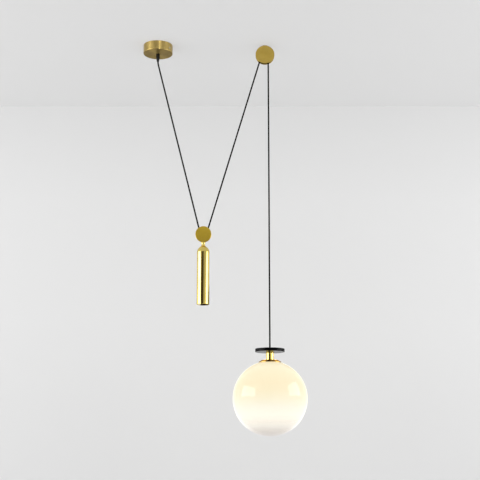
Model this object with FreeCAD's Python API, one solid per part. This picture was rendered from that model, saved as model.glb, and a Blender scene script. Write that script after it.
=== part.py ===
"""Rise and fall pendant: a globe lamp balanced by a counterweight that rides on its own cord.

The cord is held at a ceiling canopy, runs down and under the wheel of the counterweight,
up and over a wheel fixed to the ceiling, and down to the lamp. Millimetres, +Z up, +X from
the canopy towards the lamp, origin at the centre of the canopy on the ceiling. Every cord
run and both wheels lie in the plane Y = 0, and the viewer stands on the -Y side.
"""
import FreeCAD, Part
import math
import os

V = FreeCAD.Vector
X_AXIS, Y_AXIS, Z_AXIS = V(1, 0, 0), V(0, 1, 0), V(0, 0, 1)

# --------------------------------------------------------------------------------------
# Driving dimensions
# --------------------------------------------------------------------------------------

# Clearances
CORD_TO_GROOVE = 0.3        # between the cord and the groove of a wheel
CORD_IN_BORE = 0.25         # round the cord where it passes through a bush or a grip
SHAFT_RUNNING = 0.05        # round an axle, inside its bush
SCREW_IN_HOLE = 0.1         # round a screw, a nipple or a stem
SLIP = 0.2                  # between two pieces that slide together and stay put
SIDE_PLAY = 0.1             # beside a washer

# Cord: three cores in a woven textile sleeve
CORD_D = 6.5
CORE_D = 2.2
CORE_SPREAD = 1.35          # from the cord's centre to the centre of a core

# Canopy, as wide as the plate that it covers asks
CANOPY_ROUND_PLATE = 6.0    # between the plate's edge and the canopy's wall
CANOPY_HEIGHT = 38.0
CANOPY_WALL = 1.5
CANOPY_EDGE_R = 2.0

# Mounting plate inside the canopy
PLATE_T = 2.0
PLATE_PAST_SLOT = 5.55      # between a slot and the plate's edge
PLATE_WIRE_HOLE_D = 36.0
BOX_HOLE_SPACING = 88.9     # screws of a 4 inch ceiling box
SLOT_LENGTH = 12.0
SLOT_WIDTH = 5.0
EAR_WIDTH = 20.0
EAR_BELOW_SCREW = 6.0
SIDE_SCREW_ANGLE = -33.5    # from +X, seen from above
SIDE_SCREW_DEPTH = 22.5     # below the ceiling
SIDE_SCREW_D = 3.0
SIDE_SCREW_HEAD_D = 5.8
SIDE_SCREW_HEAD_T = 1.6
SIDE_SCREW_TIP = 2.0        # past the ear
EARTH_SCREW_D = 3.8
EARTH_SCREW_HEAD_D = 7.6
EARTH_SCREW_HEAD_T = 2.4
EARTH_SCREW_RADIUS = 34.0   # from the plate's centre

# Terminal block on the plate
BLOCK_WIDTH = 30.0
BLOCK_DEPTH = 16.0
BLOCK_HEIGHT = 10.0
BLOCK_TO_WIRE_HOLE = 3.0
BLOCK_WAYS = 3
BLOCK_TURRET_D = 7.0
BLOCK_TURRET_H = 4.0

# Cord grip under the canopy
GRIP_D = 16.0
GRIP_BARREL = 16.5          # its cylindrical part
GRIP_NOSE = 19.0            # its tapered part
GRIP_TIP_D = 9.2
STEM_D = 10.0
STEM_INTO_GRIP = 12.0
STEM_ABOVE_NUT = 3.0
GRIP_NUT_ACROSS = 15.0
GRIP_NUT_T = 4.0
CORD_ABOVE_STEM = 2.0
BEND_BELOW_GRIP = 6.0       # where the cord turns towards the counterweight
RUN_INSIDE_GRIP = 6.0

# Ceiling pulley
CEILING_CHEEK_D = 82.0
CEILING_CHEEK_T = 4.0
CEILING_WHEEL_W = 10.0
CEILING_WHEEL_RIM_D = 38.0
CEILING_PITCH_D = 28.0      # of the cord's centre line round the wheel
CEILING_WASHER_T = 0.8
CEILING_AXLE_D = 8.0
CEILING_BUSH_D = 12.0
CEILING_PULLEY_X = 467.3
CHEEK_BELOW_CEILING = 2.0
HANGER_WIDTH = 18.0
HANGER_TO_WHEEL = 2.5
HANGER_STUD_D = 5.0         # tapping size of an M6 stud
HANGER_STUD_DEPTH = 15.0
HANGER_SCREW_D = 2.5
HANGER_SCREW_X = 6.0        # either side of the centre

# Counterweight pulley
WEIGHT_X = 204.0
WEIGHT_Z = -844.0
WEIGHT_CHEEK_D = 67.0
WEIGHT_CHEEK_T = 3.0
WEIGHT_WHEEL_W = 8.4
WEIGHT_WHEEL_RIM_D = 35.0
WEIGHT_PITCH_D = 24.0
WEIGHT_WASHER_T = 0.6
WEIGHT_AXLE_D = 7.0
WEIGHT_BUSH_D = 10.5
TANG_WIDTH = 20.0
TANG_TO_WHEEL = 1.5
TANG_SCREW_D = 2.5
TANG_SCREW_X = 5.5

# Screws and axles of both pulleys
CHEEK_CHAMFER = 0.5
THREAD_SHARE_OF_CHEEK = 0.7     # how deep a thread goes into the front cheek
AXLE_THREAD_D = 4.8
AXLE_HEAD_GROWTH = 2.6          # radius of a countersunk axle head over its shank
SCREW_HEAD_GROWTH = 1.3
GROOVE_FLARE = 4.0              # degrees

# Counterweight
NECK_BELOW_CHEEK = 0.5
NECK_TOP_D = 20.0
NECK_WAIST_D = 14.5
NECK_WAIST_DROP = 9.5       # from the top of the neck to its waist
WAIST_LOWER_R = 12.0        # concave sweep below the waist
SHOULDER_R = 28.0           # convex sweep of the shoulder
CASING_D = 52.5
CASING_LENGTH = 265.0       # from the top of the neck to the bottom
CASING_WALL = 2.0
CASING_BASE_CHAMFER = 1.0
CASING_CROWN = 4.0          # solid metal below the shoulder
SHANK_D = 8.0
SHANK_IN_BALLAST = 18.0
PLUG_T = 5.0
PLUG_PIN_D = 3.0
PLUG_PIN_SPACING = 30.0
PLUG_PIN_DEPTH = 2.5
BALLAST_SHORT = 14.0        # room under the ballast, whose length is trimmed to balance

# Lamp: black disc, brass neck and globe cap
LAMP_TOP_Z = -1326.7
DISC_D = 122.0
DISC_T = 13.0
DISC_EDGE_R = 1.6
DISC_POCKET_D = 21.0
DISC_POCKET_DEPTH = 7.0
BUSH_T = 2.0
NIPPLE_D = 10.0
NIPPLE_WALL = 1.35
TOP_NUT_ACROSS = 16.0
TOP_NUT_T = 4.0
NECK_D = 31.5
NECK_LENGTH = 31.5
NECK_WALL = 1.6
NECK_WEB = 2.5
CAP_D = 92.0
CAP_SEAT_D = 36.0
CAP_T = 2.5
CAP_FALL = 8.2              # from the seat of the neck to the rim of the cap
CAP_BULGE = 1.2
CAP_BOSS_H = 2.5

# Globe and its clamp
GLOBE_D = 305.0
GLASS_T = 2.0
GLOBE_HOLE_D = 66.0
POLE_BELOW_SEAT = 5.3       # from the seat of the neck down to the pole of the glass
GASKET_SPACE = 1.0
GASKET_WIDTH = 8.0
GASKET_FROM_RIM = 1.5
BAR_LENGTH = 86.0
BAR_WIDTH = 16.0
BAR_T = 3.0
PAD_LENGTH = 8.0
PAD_T = 2.0
CLAMP_NUT_ACROSS = 16.0
CLAMP_NUT_T = 4.0

# Lampholder and bulb
HOLDER_D = 40.0
HOLDER_DOME_H = 15.0
HOLDER_BODY_H = 32.0
HOLDER_WALL = 2.5
HOLDER_NIPPLE_GRIP = 6.0
INSERT_T = 6.0
SHELL_WALL = 0.5
SHELL_LENGTH = 22.0
CONTACT_D = 6.0
CONTACT_H = 3.0
BULB_BASE_D = 26.2
BULB_BASE_LENGTH = 20.0
BULB_TIP_D = 9.0
BULB_TIP_H = 2.5
BULB_D = 60.0
BULB_LENGTH = 84.0          # of the envelope, from the base to the lowest point
BULB_WALL = 1.0

# --------------------------------------------------------------------------------------
# Sizes and places worked out from them
# --------------------------------------------------------------------------------------

CORD_R = CORD_D / 2
CORD_BORE_R = CORD_R + CORD_IN_BORE

PLATE_R = BOX_HOLE_SPACING / 2 + SLOT_LENGTH / 2 + PLATE_PAST_SLOT
CANOPY_INNER_R = PLATE_R + CANOPY_ROUND_PLATE
CANOPY_R = CANOPY_INNER_R + CANOPY_WALL
CANOPY_FLOOR_Z = -CANOPY_HEIGHT + CANOPY_WALL
EAR_FACE = math.sqrt((CANOPY_INNER_R - SLIP) ** 2 - (EAR_WIDTH / 2) ** 2)

GRIP_TIP_Z = -CANOPY_HEIGHT - GRIP_BARREL - GRIP_NOSE
STEM_TOP_Z = CANOPY_FLOOR_Z + GRIP_NUT_T + STEM_ABOVE_NUT
STEM_BOTTOM_Z = -CANOPY_HEIGHT - STEM_INTO_GRIP
CORD_TOP_Z = STEM_TOP_Z + CORD_ABOVE_STEM
RUN_TOP_Z = GRIP_TIP_Z + RUN_INSIDE_GRIP

CEILING_PITCH_R = CEILING_PITCH_D / 2
CEILING_PULLEY_Z = -CHEEK_BELOW_CEILING - CEILING_CHEEK_D / 2
CEILING_GAP = CEILING_WHEEL_W + 2 * (CEILING_WASHER_T + 2 * SIDE_PLAY)
HANGER_BOTTOM_Z = CEILING_PULLEY_Z + CEILING_WHEEL_RIM_D / 2 + HANGER_TO_WHEEL
HANGER_SCREW_Z = (HANGER_BOTTOM_Z - CHEEK_BELOW_CEILING) / 2 - CHEEK_BELOW_CEILING

WEIGHT_PITCH_R = WEIGHT_PITCH_D / 2
WEIGHT_GAP = WEIGHT_WHEEL_W + 2 * (WEIGHT_WASHER_T + 2 * SIDE_PLAY)
NECK_TOP_Z = WEIGHT_Z - WEIGHT_CHEEK_D / 2 - NECK_BELOW_CHEEK
TANG_TOP_Z = WEIGHT_Z - WEIGHT_WHEEL_RIM_D / 2 - TANG_TO_WHEEL
TANG_SCREW_Z = (TANG_TOP_Z + NECK_TOP_Z) / 2
CASING_R = CASING_D / 2
WAIST_R = NECK_WAIST_D / 2
WAIST_Z = NECK_TOP_Z - NECK_WAIST_DROP
SHOULDER_TURN = math.acos(1 - (CASING_R - WAIST_R) / (WAIST_LOWER_R + SHOULDER_R))
SHOULDER_Z = WAIST_Z - (WAIST_LOWER_R + SHOULDER_R) * math.sin(SHOULDER_TURN)
CASING_BOTTOM_Z = NECK_TOP_Z - CASING_LENGTH
CAVITY_TOP_Z = SHOULDER_Z - CASING_CROWN
CAVITY_R = CASING_R - CASING_WALL
PLUG_TOP_Z = CASING_BOTTOM_Z + PLUG_T

LAMP_X = CEILING_PULLEY_X + CEILING_PITCH_R
DISC_BOTTOM_Z = LAMP_TOP_Z - DISC_T
POCKET_FLOOR_Z = LAMP_TOP_Z - DISC_POCKET_DEPTH
NIPPLE_R = NIPPLE_D / 2
NIPPLE_HOLE_R = NIPPLE_R + SCREW_IN_HOLE
NIPPLE_TOP_Z = LAMP_TOP_Z - BUSH_T - SLIP
CAP_SEAT_Z = DISC_BOTTOM_Z - NECK_LENGTH
NECK_BORE_R = NECK_D / 2 - NECK_WALL
GLOBE_R = GLOBE_D / 2
GLOBE_INNER_R = GLOBE_R - GLASS_T
GLOBE_Z = CAP_SEAT_Z - POLE_BELOW_SEAT - GLOBE_R
GLOBE_HOLE_R = GLOBE_HOLE_D / 2
CAP_R = CAP_D / 2
CAP_RIM_Z = CAP_SEAT_Z - CAP_FALL
CAP_CEILING_Z = CAP_SEAT_Z - CAP_T
PAD_CENTRE_X = BAR_LENGTH / 2 - PAD_LENGTH / 2
BAR_TOP_Z = GLOBE_Z + math.sqrt(GLOBE_INNER_R ** 2 - PAD_CENTRE_X ** 2) - PAD_T
BAR_BOTTOM_Z = BAR_TOP_Z - BAR_T
CLAMP_NUT_BOTTOM_Z = BAR_BOTTOM_Z - CLAMP_NUT_T
HOLDER_TOP_Z = CLAMP_NUT_BOTTOM_Z
NIPPLE_BOTTOM_Z = HOLDER_TOP_Z - HOLDER_NIPPLE_GRIP
HOLDER_SPLIT_Z = HOLDER_TOP_Z - HOLDER_DOME_H
HOLDER_BOTTOM_Z = HOLDER_SPLIT_Z - HOLDER_BODY_H
HOLDER_INNER_R = HOLDER_D / 2 - HOLDER_WALL
INSERT_BOTTOM_Z = HOLDER_SPLIT_Z - INSERT_T
SHELL_INNER_R = BULB_BASE_D / 2 + SCREW_IN_HOLE
SHELL_OUTER_R = SHELL_INNER_R + SHELL_WALL
CONTACT_BOTTOM_Z = INSERT_BOTTOM_Z - CONTACT_H
BULB_BASE_TOP_Z = CONTACT_BOTTOM_Z - BULB_TIP_H
BULB_BASE_BOTTOM_Z = BULB_BASE_TOP_Z - BULB_BASE_LENGTH
BULB_Z = BULB_BASE_BOTTOM_Z - BULB_LENGTH + BULB_D / 2


# --------------------------------------------------------------------------------------
# Shapes that every piece is made from
# --------------------------------------------------------------------------------------

def outline(start, *moves):
    """A closed face in the plane Y = 0 from (radius, height) points.

    A move is a point for a straight line, or a pair of points, the middle and the end,
    for an arc. The last point joins back to the first, and a point that is given twice
    adds no edge.
    """
    edges = []
    here = V(start[0], 0, start[1])
    first = here
    for move in moves:
        if isinstance(move[0], tuple):
            middle, end = (V(r, 0, z) for r, z in move)
            edges.append(Part.Arc(here, middle, end).toShape())
        else:
            end = V(move[0], 0, move[1])
            if here.distanceToPoint(end) > 1e-6:
                edges.append(Part.LineSegment(here, end).toShape())
        here = end
    if here.distanceToPoint(first) > 1e-6:
        edges.append(Part.LineSegment(here, first).toShape())
    return Part.Face(Part.Wire(edges))


def turned(face, x=0.0, z=0.0, across=False):
    """Turn an outline about the vertical through (x, 0), or about the Y direction
    through (x, z) when the piece lies across, with its heights then along +Y."""
    solid = face.revolve(V(0, 0, 0), Z_AXIS, 360)
    if across:
        solid.rotate(V(0, 0, 0), X_AXIS, -90)
    solid.translate(V(x, 0, z))
    return solid


def ring(outer_r, inner_r, low, high, x=0.0, z=0.0, across=False):
    """A plain tube between two heights."""
    face = outline((inner_r, low), (outer_r, low), (outer_r, high), (inner_r, high))
    return turned(face, x, z, across)


def rod(radius, low, high, x=0.0, z=0.0, across=False):
    """A plain cylinder between two heights."""
    face = outline((0, low), (radius, low), (radius, high), (0, high))
    return turned(face, x, z, across)


def block(x0, x1, y0, y1, z0, z1):
    """A box between its low and high corners."""
    return Part.makeBox(x1 - x0, y1 - y0, z1 - z0, V(x0, y0, z0))


def hex_nut(across, hole_r, low, high, x):
    """A hexagon nut about the vertical through (x, 0)."""
    corner = across / 2 / math.cos(math.pi / 6)
    corners = [V(x + corner * math.cos(k * math.pi / 3), corner * math.sin(k * math.pi / 3), low)
               for k in range(7)]
    body = Part.Face(Part.makePolygon(corners)).extrude(V(0, 0, high - low))
    return body.cut(rod(hole_r, low, high, x))


def on_arc(centre_r, centre_z, radius, degrees):
    """The point of a circle in an outline, with 0 degrees along +radius and 90 up."""
    angle = math.radians(degrees)
    return (centre_r + radius * math.cos(angle), centre_z + radius * math.sin(angle))


def on_sphere(radius, centre_z, r):
    """The upper point of a sphere about the axis, at a distance r from the axis."""
    return (r, centre_z + math.sqrt(radius ** 2 - r ** 2))


def radial(shape, angle):
    """Turn a piece made along +X about the canopy's axis."""
    turned_piece = shape.copy()
    turned_piece.rotate(V(0, 0, 0), Z_AXIS, angle)
    return turned_piece


def group(shapes):
    """Several separate solids in one node."""
    return Part.makeCompound(shapes)


def save(node, shape):
    """Write one node, and stop if a solid of it is broken."""
    for solid in shape.Solids:
        assert solid.isValid() and solid.Volume > 0, node
    shape.exportStep("parts/" + node + ".step")


# --------------------------------------------------------------------------------------
# Cord
# --------------------------------------------------------------------------------------

def bent(points):
    """Straight runs through the points, joined by tangent arcs.

    An arc's radius is 0.45 of its shorter run over the tangent of half the turn.
    Returns the edges and the radii.
    """
    edges, radii = [], []
    here = points[0]
    for before, corner, after in zip(points, points[1:], points[2:]):
        back = (before - corner)
        ahead = (after - corner)
        half_turn = (math.pi - back.getAngle(ahead)) / 2
        cut = 0.45 * min(back.Length, ahead.Length)
        radius = cut / math.tan(half_turn)
        back.normalize()
        ahead.normalize()
        into, out = corner + back * cut, corner + ahead * cut
        inward = back + ahead
        inward.normalize()
        middle = corner + inward * (radius / math.cos(half_turn) - radius)
        edges.append(Part.LineSegment(here, into).toShape())
        edges.append(Part.Arc(into, middle, out).toShape())
        radii.append(radius)
        here = out
    edges.append(Part.LineSegment(here, points[-1]).toShape())
    return edges, radii


def tube(name, edges, diameter, radii=()):
    """Sweep a round section along the edges, and print its volume and radii."""
    path = Part.Wire(edges)
    first = edges[0]
    start, direction = first.valueAt(first.FirstParameter), first.tangentAt(first.FirstParameter)
    section = Part.Wire(Part.makeCircle(diameter / 2, start, direction))
    sweep = Part.BRepOffsetAPI.MakePipeShell(path)
    sweep.add(section)
    sweep.build()
    sweep.makeSolid()
    solid = sweep.shape()
    expected = math.pi * diameter ** 2 / 4 * path.Length
    print("%s: length %.1f, volume %.4f of section times length, radii %s"
          % (name, path.Length, solid.Volume / expected,
             " ".join("%.0f" % radius for radius in radii) or "none"))
    return solid


def wrap(name, centre, radius, start_degrees, end_degrees):
    """The cord round a wheel, between two directions from the wheel's centre."""
    points = [centre + V(math.cos(a), 0, math.sin(a)) * radius
              for a in (math.radians(start_degrees),
                        math.radians((start_degrees + end_degrees) / 2),
                        math.radians(end_degrees))]
    return tube(name, [Part.Arc(*points).toShape()], CORD_D, [radius])


def cords():
    """Every stretch of the cord, from the canopy to the lamp.

    The two slanting runs are tangent to the wheels, so their slopes come from the places
    and the pitch radii of the wheels.
    """
    grip_bend = V(0, 0, GRIP_TIP_Z - BEND_BELOW_GRIP)
    weight = V(WEIGHT_X, 0, WEIGHT_Z)
    pulley = V(CEILING_PULLEY_X, 0, CEILING_PULLEY_Z)

    down = weight - grip_bend
    left_slope = math.atan2(down.x, -down.z) - math.asin(WEIGHT_PITCH_R / down.Length)
    left_end = weight + V(-math.cos(left_slope), 0, -math.sin(left_slope)) * WEIGHT_PITCH_R

    up = pulley - weight
    right_slope = (math.atan2(up.x, up.z)
                   - math.asin((WEIGHT_PITCH_R + CEILING_PITCH_R) / up.Length))
    outward = V(math.cos(right_slope), 0, -math.sin(right_slope))
    right_start = weight + outward * WEIGHT_PITCH_R
    right_end = pulley - outward * CEILING_PITCH_R

    run_top = V(0, 0, RUN_TOP_Z)
    left_edges, left_radii = bent([run_top, grip_bend, left_end])
    save("left_cord_run", tube("left_cord_run", left_edges, CORD_D, left_radii))
    save("counterweight_cord_wrap",
         wrap("counterweight_cord_wrap", weight, WEIGHT_PITCH_R,
              180 + math.degrees(left_slope), 360 - math.degrees(right_slope)))
    save("right_cord_run",
         tube("right_cord_run", [Part.LineSegment(right_start, right_end).toShape()], CORD_D))
    save("ceiling_cord_wrap",
         wrap("ceiling_cord_wrap", pulley, CEILING_PITCH_R,
              180 - math.degrees(right_slope), 0))
    drop = Part.LineSegment(V(LAMP_X, 0, CEILING_PULLEY_Z), V(LAMP_X, 0, LAMP_TOP_Z))
    save("drop_cord", tube("drop_cord", [drop.toShape()], CORD_D))

    lamp_tail = Part.LineSegment(V(LAMP_X, 0, LAMP_TOP_Z), V(LAMP_X, 0, NIPPLE_BOTTOM_Z))
    save("lamp_cord_tail", tube("lamp_cord_tail", [lamp_tail.toShape()], CORD_D))
    canopy_tail = Part.LineSegment(run_top, V(0, 0, CORD_TOP_Z))
    save("canopy_cord_tail", tube("canopy_cord_tail", [canopy_tail.toShape()], CORD_D))


# --------------------------------------------------------------------------------------
# Canopy
# --------------------------------------------------------------------------------------

def block_face_y():
    """Where the terminal block's near face stands."""
    return PLATE_WIRE_HOLE_D / 2 + BLOCK_TO_WIRE_HOLE


def way_x(way):
    """The centre of one way of the terminal block."""
    return (way - (BLOCK_WAYS - 1) / 2) * BLOCK_WIDTH / BLOCK_WAYS


def mounting_plate():
    """Round steel plate with two ears folded down for the canopy's side screws."""
    plate = ring(PLATE_R, PLATE_WIRE_HOLE_D / 2, -PLATE_T, 0)
    ear_bottom = -SIDE_SCREW_DEPTH - EAR_BELOW_SCREW
    half = EAR_WIDTH / 2
    tab = block((PLATE_R + PLATE_WIRE_HOLE_D / 2) / 2, EAR_FACE, -half, half, -PLATE_T, 0)
    leg = block(EAR_FACE - PLATE_T, EAR_FACE, -half, half, ear_bottom, 0)
    ear = tab.fuse(leg)
    fold = [e for e in ear.Edges if e.Length > EAR_WIDTH * 0.99
            and abs(e.CenterOfMass.x - EAR_FACE) < 1e-3 and abs(e.CenterOfMass.z) < 1e-3]
    ear = ear.makeFillet(PLATE_T * 0.9, fold)
    hole = rod(SIDE_SCREW_D / 2 + SCREW_IN_HOLE, 0, CANOPY_R)
    hole.rotate(V(0, 0, 0), Y_AXIS, 90)
    hole.translate(V(0, 0, -SIDE_SCREW_DEPTH))
    ear = ear.cut(hole)
    for angle in (SIDE_SCREW_ANGLE, SIDE_SCREW_ANGLE + 180):
        plate = plate.fuse(radial(ear, angle))
    half_run = (SLOT_LENGTH - SLOT_WIDTH) / 2
    for side in (-1, 1):
        centre = side * BOX_HOLE_SPACING / 2
        slot = block(centre - half_run, centre + half_run,
                     -SLOT_WIDTH / 2, SLOT_WIDTH / 2, -PLATE_T, 0)
        for end in (-half_run, half_run):
            slot = slot.fuse(rod(SLOT_WIDTH / 2, -PLATE_T, 0, centre + end))
        plate = plate.cut(slot)
    earth_hole = rod(EARTH_SCREW_D / 2 + SCREW_IN_HOLE, -PLATE_T, 0)
    earth_hole.translate(V(0, -EARTH_SCREW_RADIUS, 0))
    return plate.cut(earth_hole).removeSplitter()


def canopy_cup():
    """Spun brass cup, open at the ceiling, with a small radius round its lower edge."""
    edge, inner_edge = CANOPY_EDGE_R, CANOPY_EDGE_R - CANOPY_WALL / 2
    bottom = -CANOPY_HEIGHT
    hole_r = STEM_D / 2 + SCREW_IN_HOLE
    face = outline(
        (hole_r, bottom),
        (CANOPY_R - edge, bottom),
        (on_arc(CANOPY_R - edge, bottom + edge, edge, -45), (CANOPY_R, bottom + edge)),
        (CANOPY_R, 0),
        (CANOPY_INNER_R, 0),
        (CANOPY_INNER_R, CANOPY_FLOOR_Z + inner_edge),
        (on_arc(CANOPY_INNER_R - inner_edge, CANOPY_FLOOR_Z + inner_edge, inner_edge, -45),
         (CANOPY_INNER_R - inner_edge, CANOPY_FLOOR_Z)),
        (hole_r, CANOPY_FLOOR_Z))
    cup = turned(face)
    hole = rod(SIDE_SCREW_D / 2 + SCREW_IN_HOLE, CANOPY_INNER_R - CANOPY_WALL, CANOPY_R + 1)
    hole.rotate(V(0, 0, 0), Y_AXIS, 90)
    hole.translate(V(0, 0, -SIDE_SCREW_DEPTH))
    for angle in (SIDE_SCREW_ANGLE, SIDE_SCREW_ANGLE + 180):
        cup = cup.cut(radial(hole, angle))
    return cup


def canopy_side_screws():
    """Two low-headed screws that hold the canopy to the ears of the plate."""
    shank_r, head_r = SIDE_SCREW_D / 2, SIDE_SCREW_HEAD_D / 2
    tip = EAR_FACE - PLATE_T - SIDE_SCREW_TIP
    rise = SIDE_SCREW_HEAD_T / 2
    crown = CANOPY_R + SIDE_SCREW_HEAD_T
    crown_r = (head_r ** 2 + rise ** 2) / (2 * rise)
    half_span = math.degrees(math.asin(head_r / crown_r)) / 2
    face = outline((0, tip), (shank_r, tip), (shank_r, CANOPY_R), (head_r, CANOPY_R),
                   (head_r, crown - rise),
                   (on_arc(0, crown - crown_r, crown_r, 90 - half_span), (0, crown)))
    screw = turned(face)
    screw.rotate(V(0, 0, 0), Y_AXIS, 90)
    screw.translate(V(0, 0, -SIDE_SCREW_DEPTH))
    return group([radial(screw, SIDE_SCREW_ANGLE), radial(screw, SIDE_SCREW_ANGLE + 180)])


def earth_screw():
    """Pan-headed earth screw under the plate."""
    under = -PLATE_T - EARTH_SCREW_HEAD_T
    face = outline((0, under), (EARTH_SCREW_HEAD_D / 2, under),
                   (EARTH_SCREW_HEAD_D / 2, -PLATE_T), (EARTH_SCREW_D / 2, -PLATE_T),
                   (EARTH_SCREW_D / 2, 0), (0, 0))
    screw = turned(face)
    screw.translate(V(0, -EARTH_SCREW_RADIUS, 0))
    return screw


def terminal_block():
    """Three-way block under the plate, with a screw turret and a wire hole to each way."""
    near = block_face_y()
    top = -PLATE_T
    body = block(-BLOCK_WIDTH / 2, BLOCK_WIDTH / 2, near, near + BLOCK_DEPTH,
                 top - BLOCK_HEIGHT, top)
    for way in range(BLOCK_WAYS):
        turret = rod(BLOCK_TURRET_D / 2, top - BLOCK_HEIGHT - BLOCK_TURRET_H,
                     top - BLOCK_HEIGHT, way_x(way))
        turret.translate(V(0, near + BLOCK_DEPTH / 2, 0))
        body = body.fuse(turret)
    for way in range(BLOCK_WAYS):
        wire_hole = rod(CORE_D / 2 + SLIP, near, near + BLOCK_DEPTH, way_x(way),
                        top - BLOCK_HEIGHT / 2, across=True)
        body = body.cut(wire_hole)
    return body.removeSplitter()


def canopy_cores():
    """The cord's three cores, from its cut end into the ways of the terminal block."""
    cores = []
    enter_z = -PLATE_T - BLOCK_HEIGHT / 2
    for way in range(BLOCK_WAYS):
        angle = math.radians(90 + (1 - way) * 360 / BLOCK_WAYS)
        start = V(CORE_SPREAD * math.cos(angle), CORE_SPREAD * math.sin(angle), CORD_TOP_Z)
        end = V(way_x(way), block_face_y() + BLOCK_DEPTH / 4, enter_z)
        rise = V(start.x, start.y, enter_z - CORE_D)
        mouth = V(end.x, block_face_y() - CORE_D, enter_z)
        edges, radii = bent([start, rise, mouth, end])
        cores.append(tube("canopy_cores", edges, CORE_D, radii))
    return group(cores)


def cord_grip():
    """Black grip: a barrel under the canopy and a tapered nose that the cord leaves."""
    top, split = -CANOPY_HEIGHT, -CANOPY_HEIGHT - GRIP_BARREL
    socket_r = STEM_D / 2 + SCREW_IN_HOLE
    face = outline((socket_r, top), (GRIP_D / 2, top), (GRIP_D / 2, split),
                   (GRIP_TIP_D / 2, GRIP_TIP_Z), (CORD_BORE_R, GRIP_TIP_Z),
                   (CORD_BORE_R, STEM_BOTTOM_Z), (socket_r, STEM_BOTTOM_Z))
    return turned(face)


def canopy():
    """The canopy and everything held in it."""
    save("mounting_plate", mounting_plate())
    save("canopy_cup", canopy_cup())
    save("canopy_side_screws", canopy_side_screws())
    save("earth_screw", earth_screw())
    save("terminal_block", terminal_block())
    save("canopy_cores", canopy_cores())
    save("cord_grip", cord_grip())
    save("cord_grip_stem", ring(STEM_D / 2, CORD_BORE_R, STEM_BOTTOM_Z, STEM_TOP_Z))
    save("cord_grip_nut", hex_nut(GRIP_NUT_ACROSS, STEM_D / 2 + SCREW_IN_HOLE,
                                  CANOPY_FLOOR_Z, CANOPY_FLOOR_Z + GRIP_NUT_T, 0))


# --------------------------------------------------------------------------------------
# Pulleys
# --------------------------------------------------------------------------------------

class Pulley:
    """Two round cheeks with a grooved wheel between them, held by countersunk screws
    and an axle that enter from the rear and end inside the front cheek.

    Screws are given as (x, z) places from the wheel's centre.
    """

    def __init__(self, name, x, z, cheek_d, cheek_t, gap, wheel_w, rim_d, pitch_r,
                 washer_t, axle_d, bush_d, screw_d, screws):
        self.name, self.x, self.z = name, x, z
        self.cheek_r, self.cheek_t, self.gap = cheek_d / 2, cheek_t, gap
        self.wheel_w, self.rim_r, self.pitch_r = wheel_w, rim_d / 2, pitch_r
        self.washer_t, self.axle_r, self.bush_r = washer_t, axle_d / 2, bush_d / 2
        self.screw_r, self.screws = screw_d / 2, screws
        self.inner = gap / 2
        self.outer = gap / 2 + cheek_t
        self.thread_end = self.inner + cheek_t * THREAD_SHARE_OF_CHEEK

    def fastener(self, shank_r, thread_r, head_growth, play):
        """A countersunk fastener along Y, or with play the hole that takes it."""
        head_r = shank_r + head_growth
        head_end = self.outer - head_growth
        end = -self.thread_end - play
        return outline((0, end), (thread_r + play, end), (thread_r + play, -self.inner),
                       (shank_r + play, -self.inner), (shank_r + play, head_end),
                       (head_r + play, self.outer), (0, self.outer))

    def axle(self, play=0.0):
        """The axle, a shoulder screw."""
        thread_r = min(AXLE_THREAD_D / 2, self.axle_r - 0.5)
        face = self.fastener(self.axle_r, thread_r, AXLE_HEAD_GROWTH, play)
        return turned(face, self.x, self.z, across=True)

    def screw(self, place, play=0.0):
        """One of the screws that hold the cheeks together."""
        face = self.fastener(self.screw_r, self.screw_r, SCREW_HEAD_GROWTH, play)
        return turned(face, self.x + place[0], self.z + place[1], across=True)

    def cheek(self, near, far):
        """One cheek between two places along Y, with its holes."""
        edge = CHEEK_CHAMFER
        face = outline((0, near), (self.cheek_r - edge, near), (self.cheek_r, near + edge),
                       (self.cheek_r, far - edge), (self.cheek_r - edge, far), (0, far))
        cheek = turned(face, self.x, self.z, across=True)
        cheek = cheek.cut(self.axle(SCREW_IN_HOLE))
        for place in self.screws:
            cheek = cheek.cut(self.screw(place, SCREW_IN_HOLE))
        return cheek

    def wheel(self):
        """The wheel, with a round groove that the cord lies in and flared walls."""
        groove_r = CORD_R + CORD_TO_GROOVE
        half = self.wheel_w / 2
        flare = math.tan(math.radians(GROOVE_FLARE)) * (self.rim_r - self.pitch_r)
        face = outline((self.bush_r + SHAFT_RUNNING, -half), (self.rim_r, -half),
                       (self.rim_r, -groove_r - flare), (self.pitch_r, -groove_r),
                       ((self.pitch_r - groove_r, 0), (self.pitch_r, groove_r)),
                       (self.rim_r, groove_r + flare), (self.rim_r, half),
                       (self.bush_r + SHAFT_RUNNING, half))
        return turned(face, self.x, self.z, across=True)

    def washers(self):
        """A thin washer on each side of the wheel."""
        inner_r = self.axle_r + SCREW_IN_HOLE
        sides = [(-self.inner + SIDE_PLAY, -self.inner + SIDE_PLAY + self.washer_t),
                 (self.inner - SIDE_PLAY - self.washer_t, self.inner - SIDE_PLAY)]
        return group([ring(self.bush_r, inner_r, near, far, self.x, self.z, across=True)
                      for near, far in sides])

    def build(self, screws_node):
        """Write the pieces that both pulleys have."""
        save(self.name + "_cheek_front", self.cheek(-self.outer, -self.inner))
        save(self.name + "_cheek_rear", self.cheek(self.inner, self.outer))
        save(self.name + "_axle", self.axle())
        save(self.name + "_washers", self.washers())
        save(self.name + "_wheel", self.wheel())
        save(self.name + "_wheel_bush",
             ring(self.bush_r, self.axle_r + SHAFT_RUNNING, -self.wheel_w / 2,
                  self.wheel_w / 2, self.x, self.z, across=True))
        save(screws_node, group([self.screw(place) for place in self.screws]))


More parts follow.
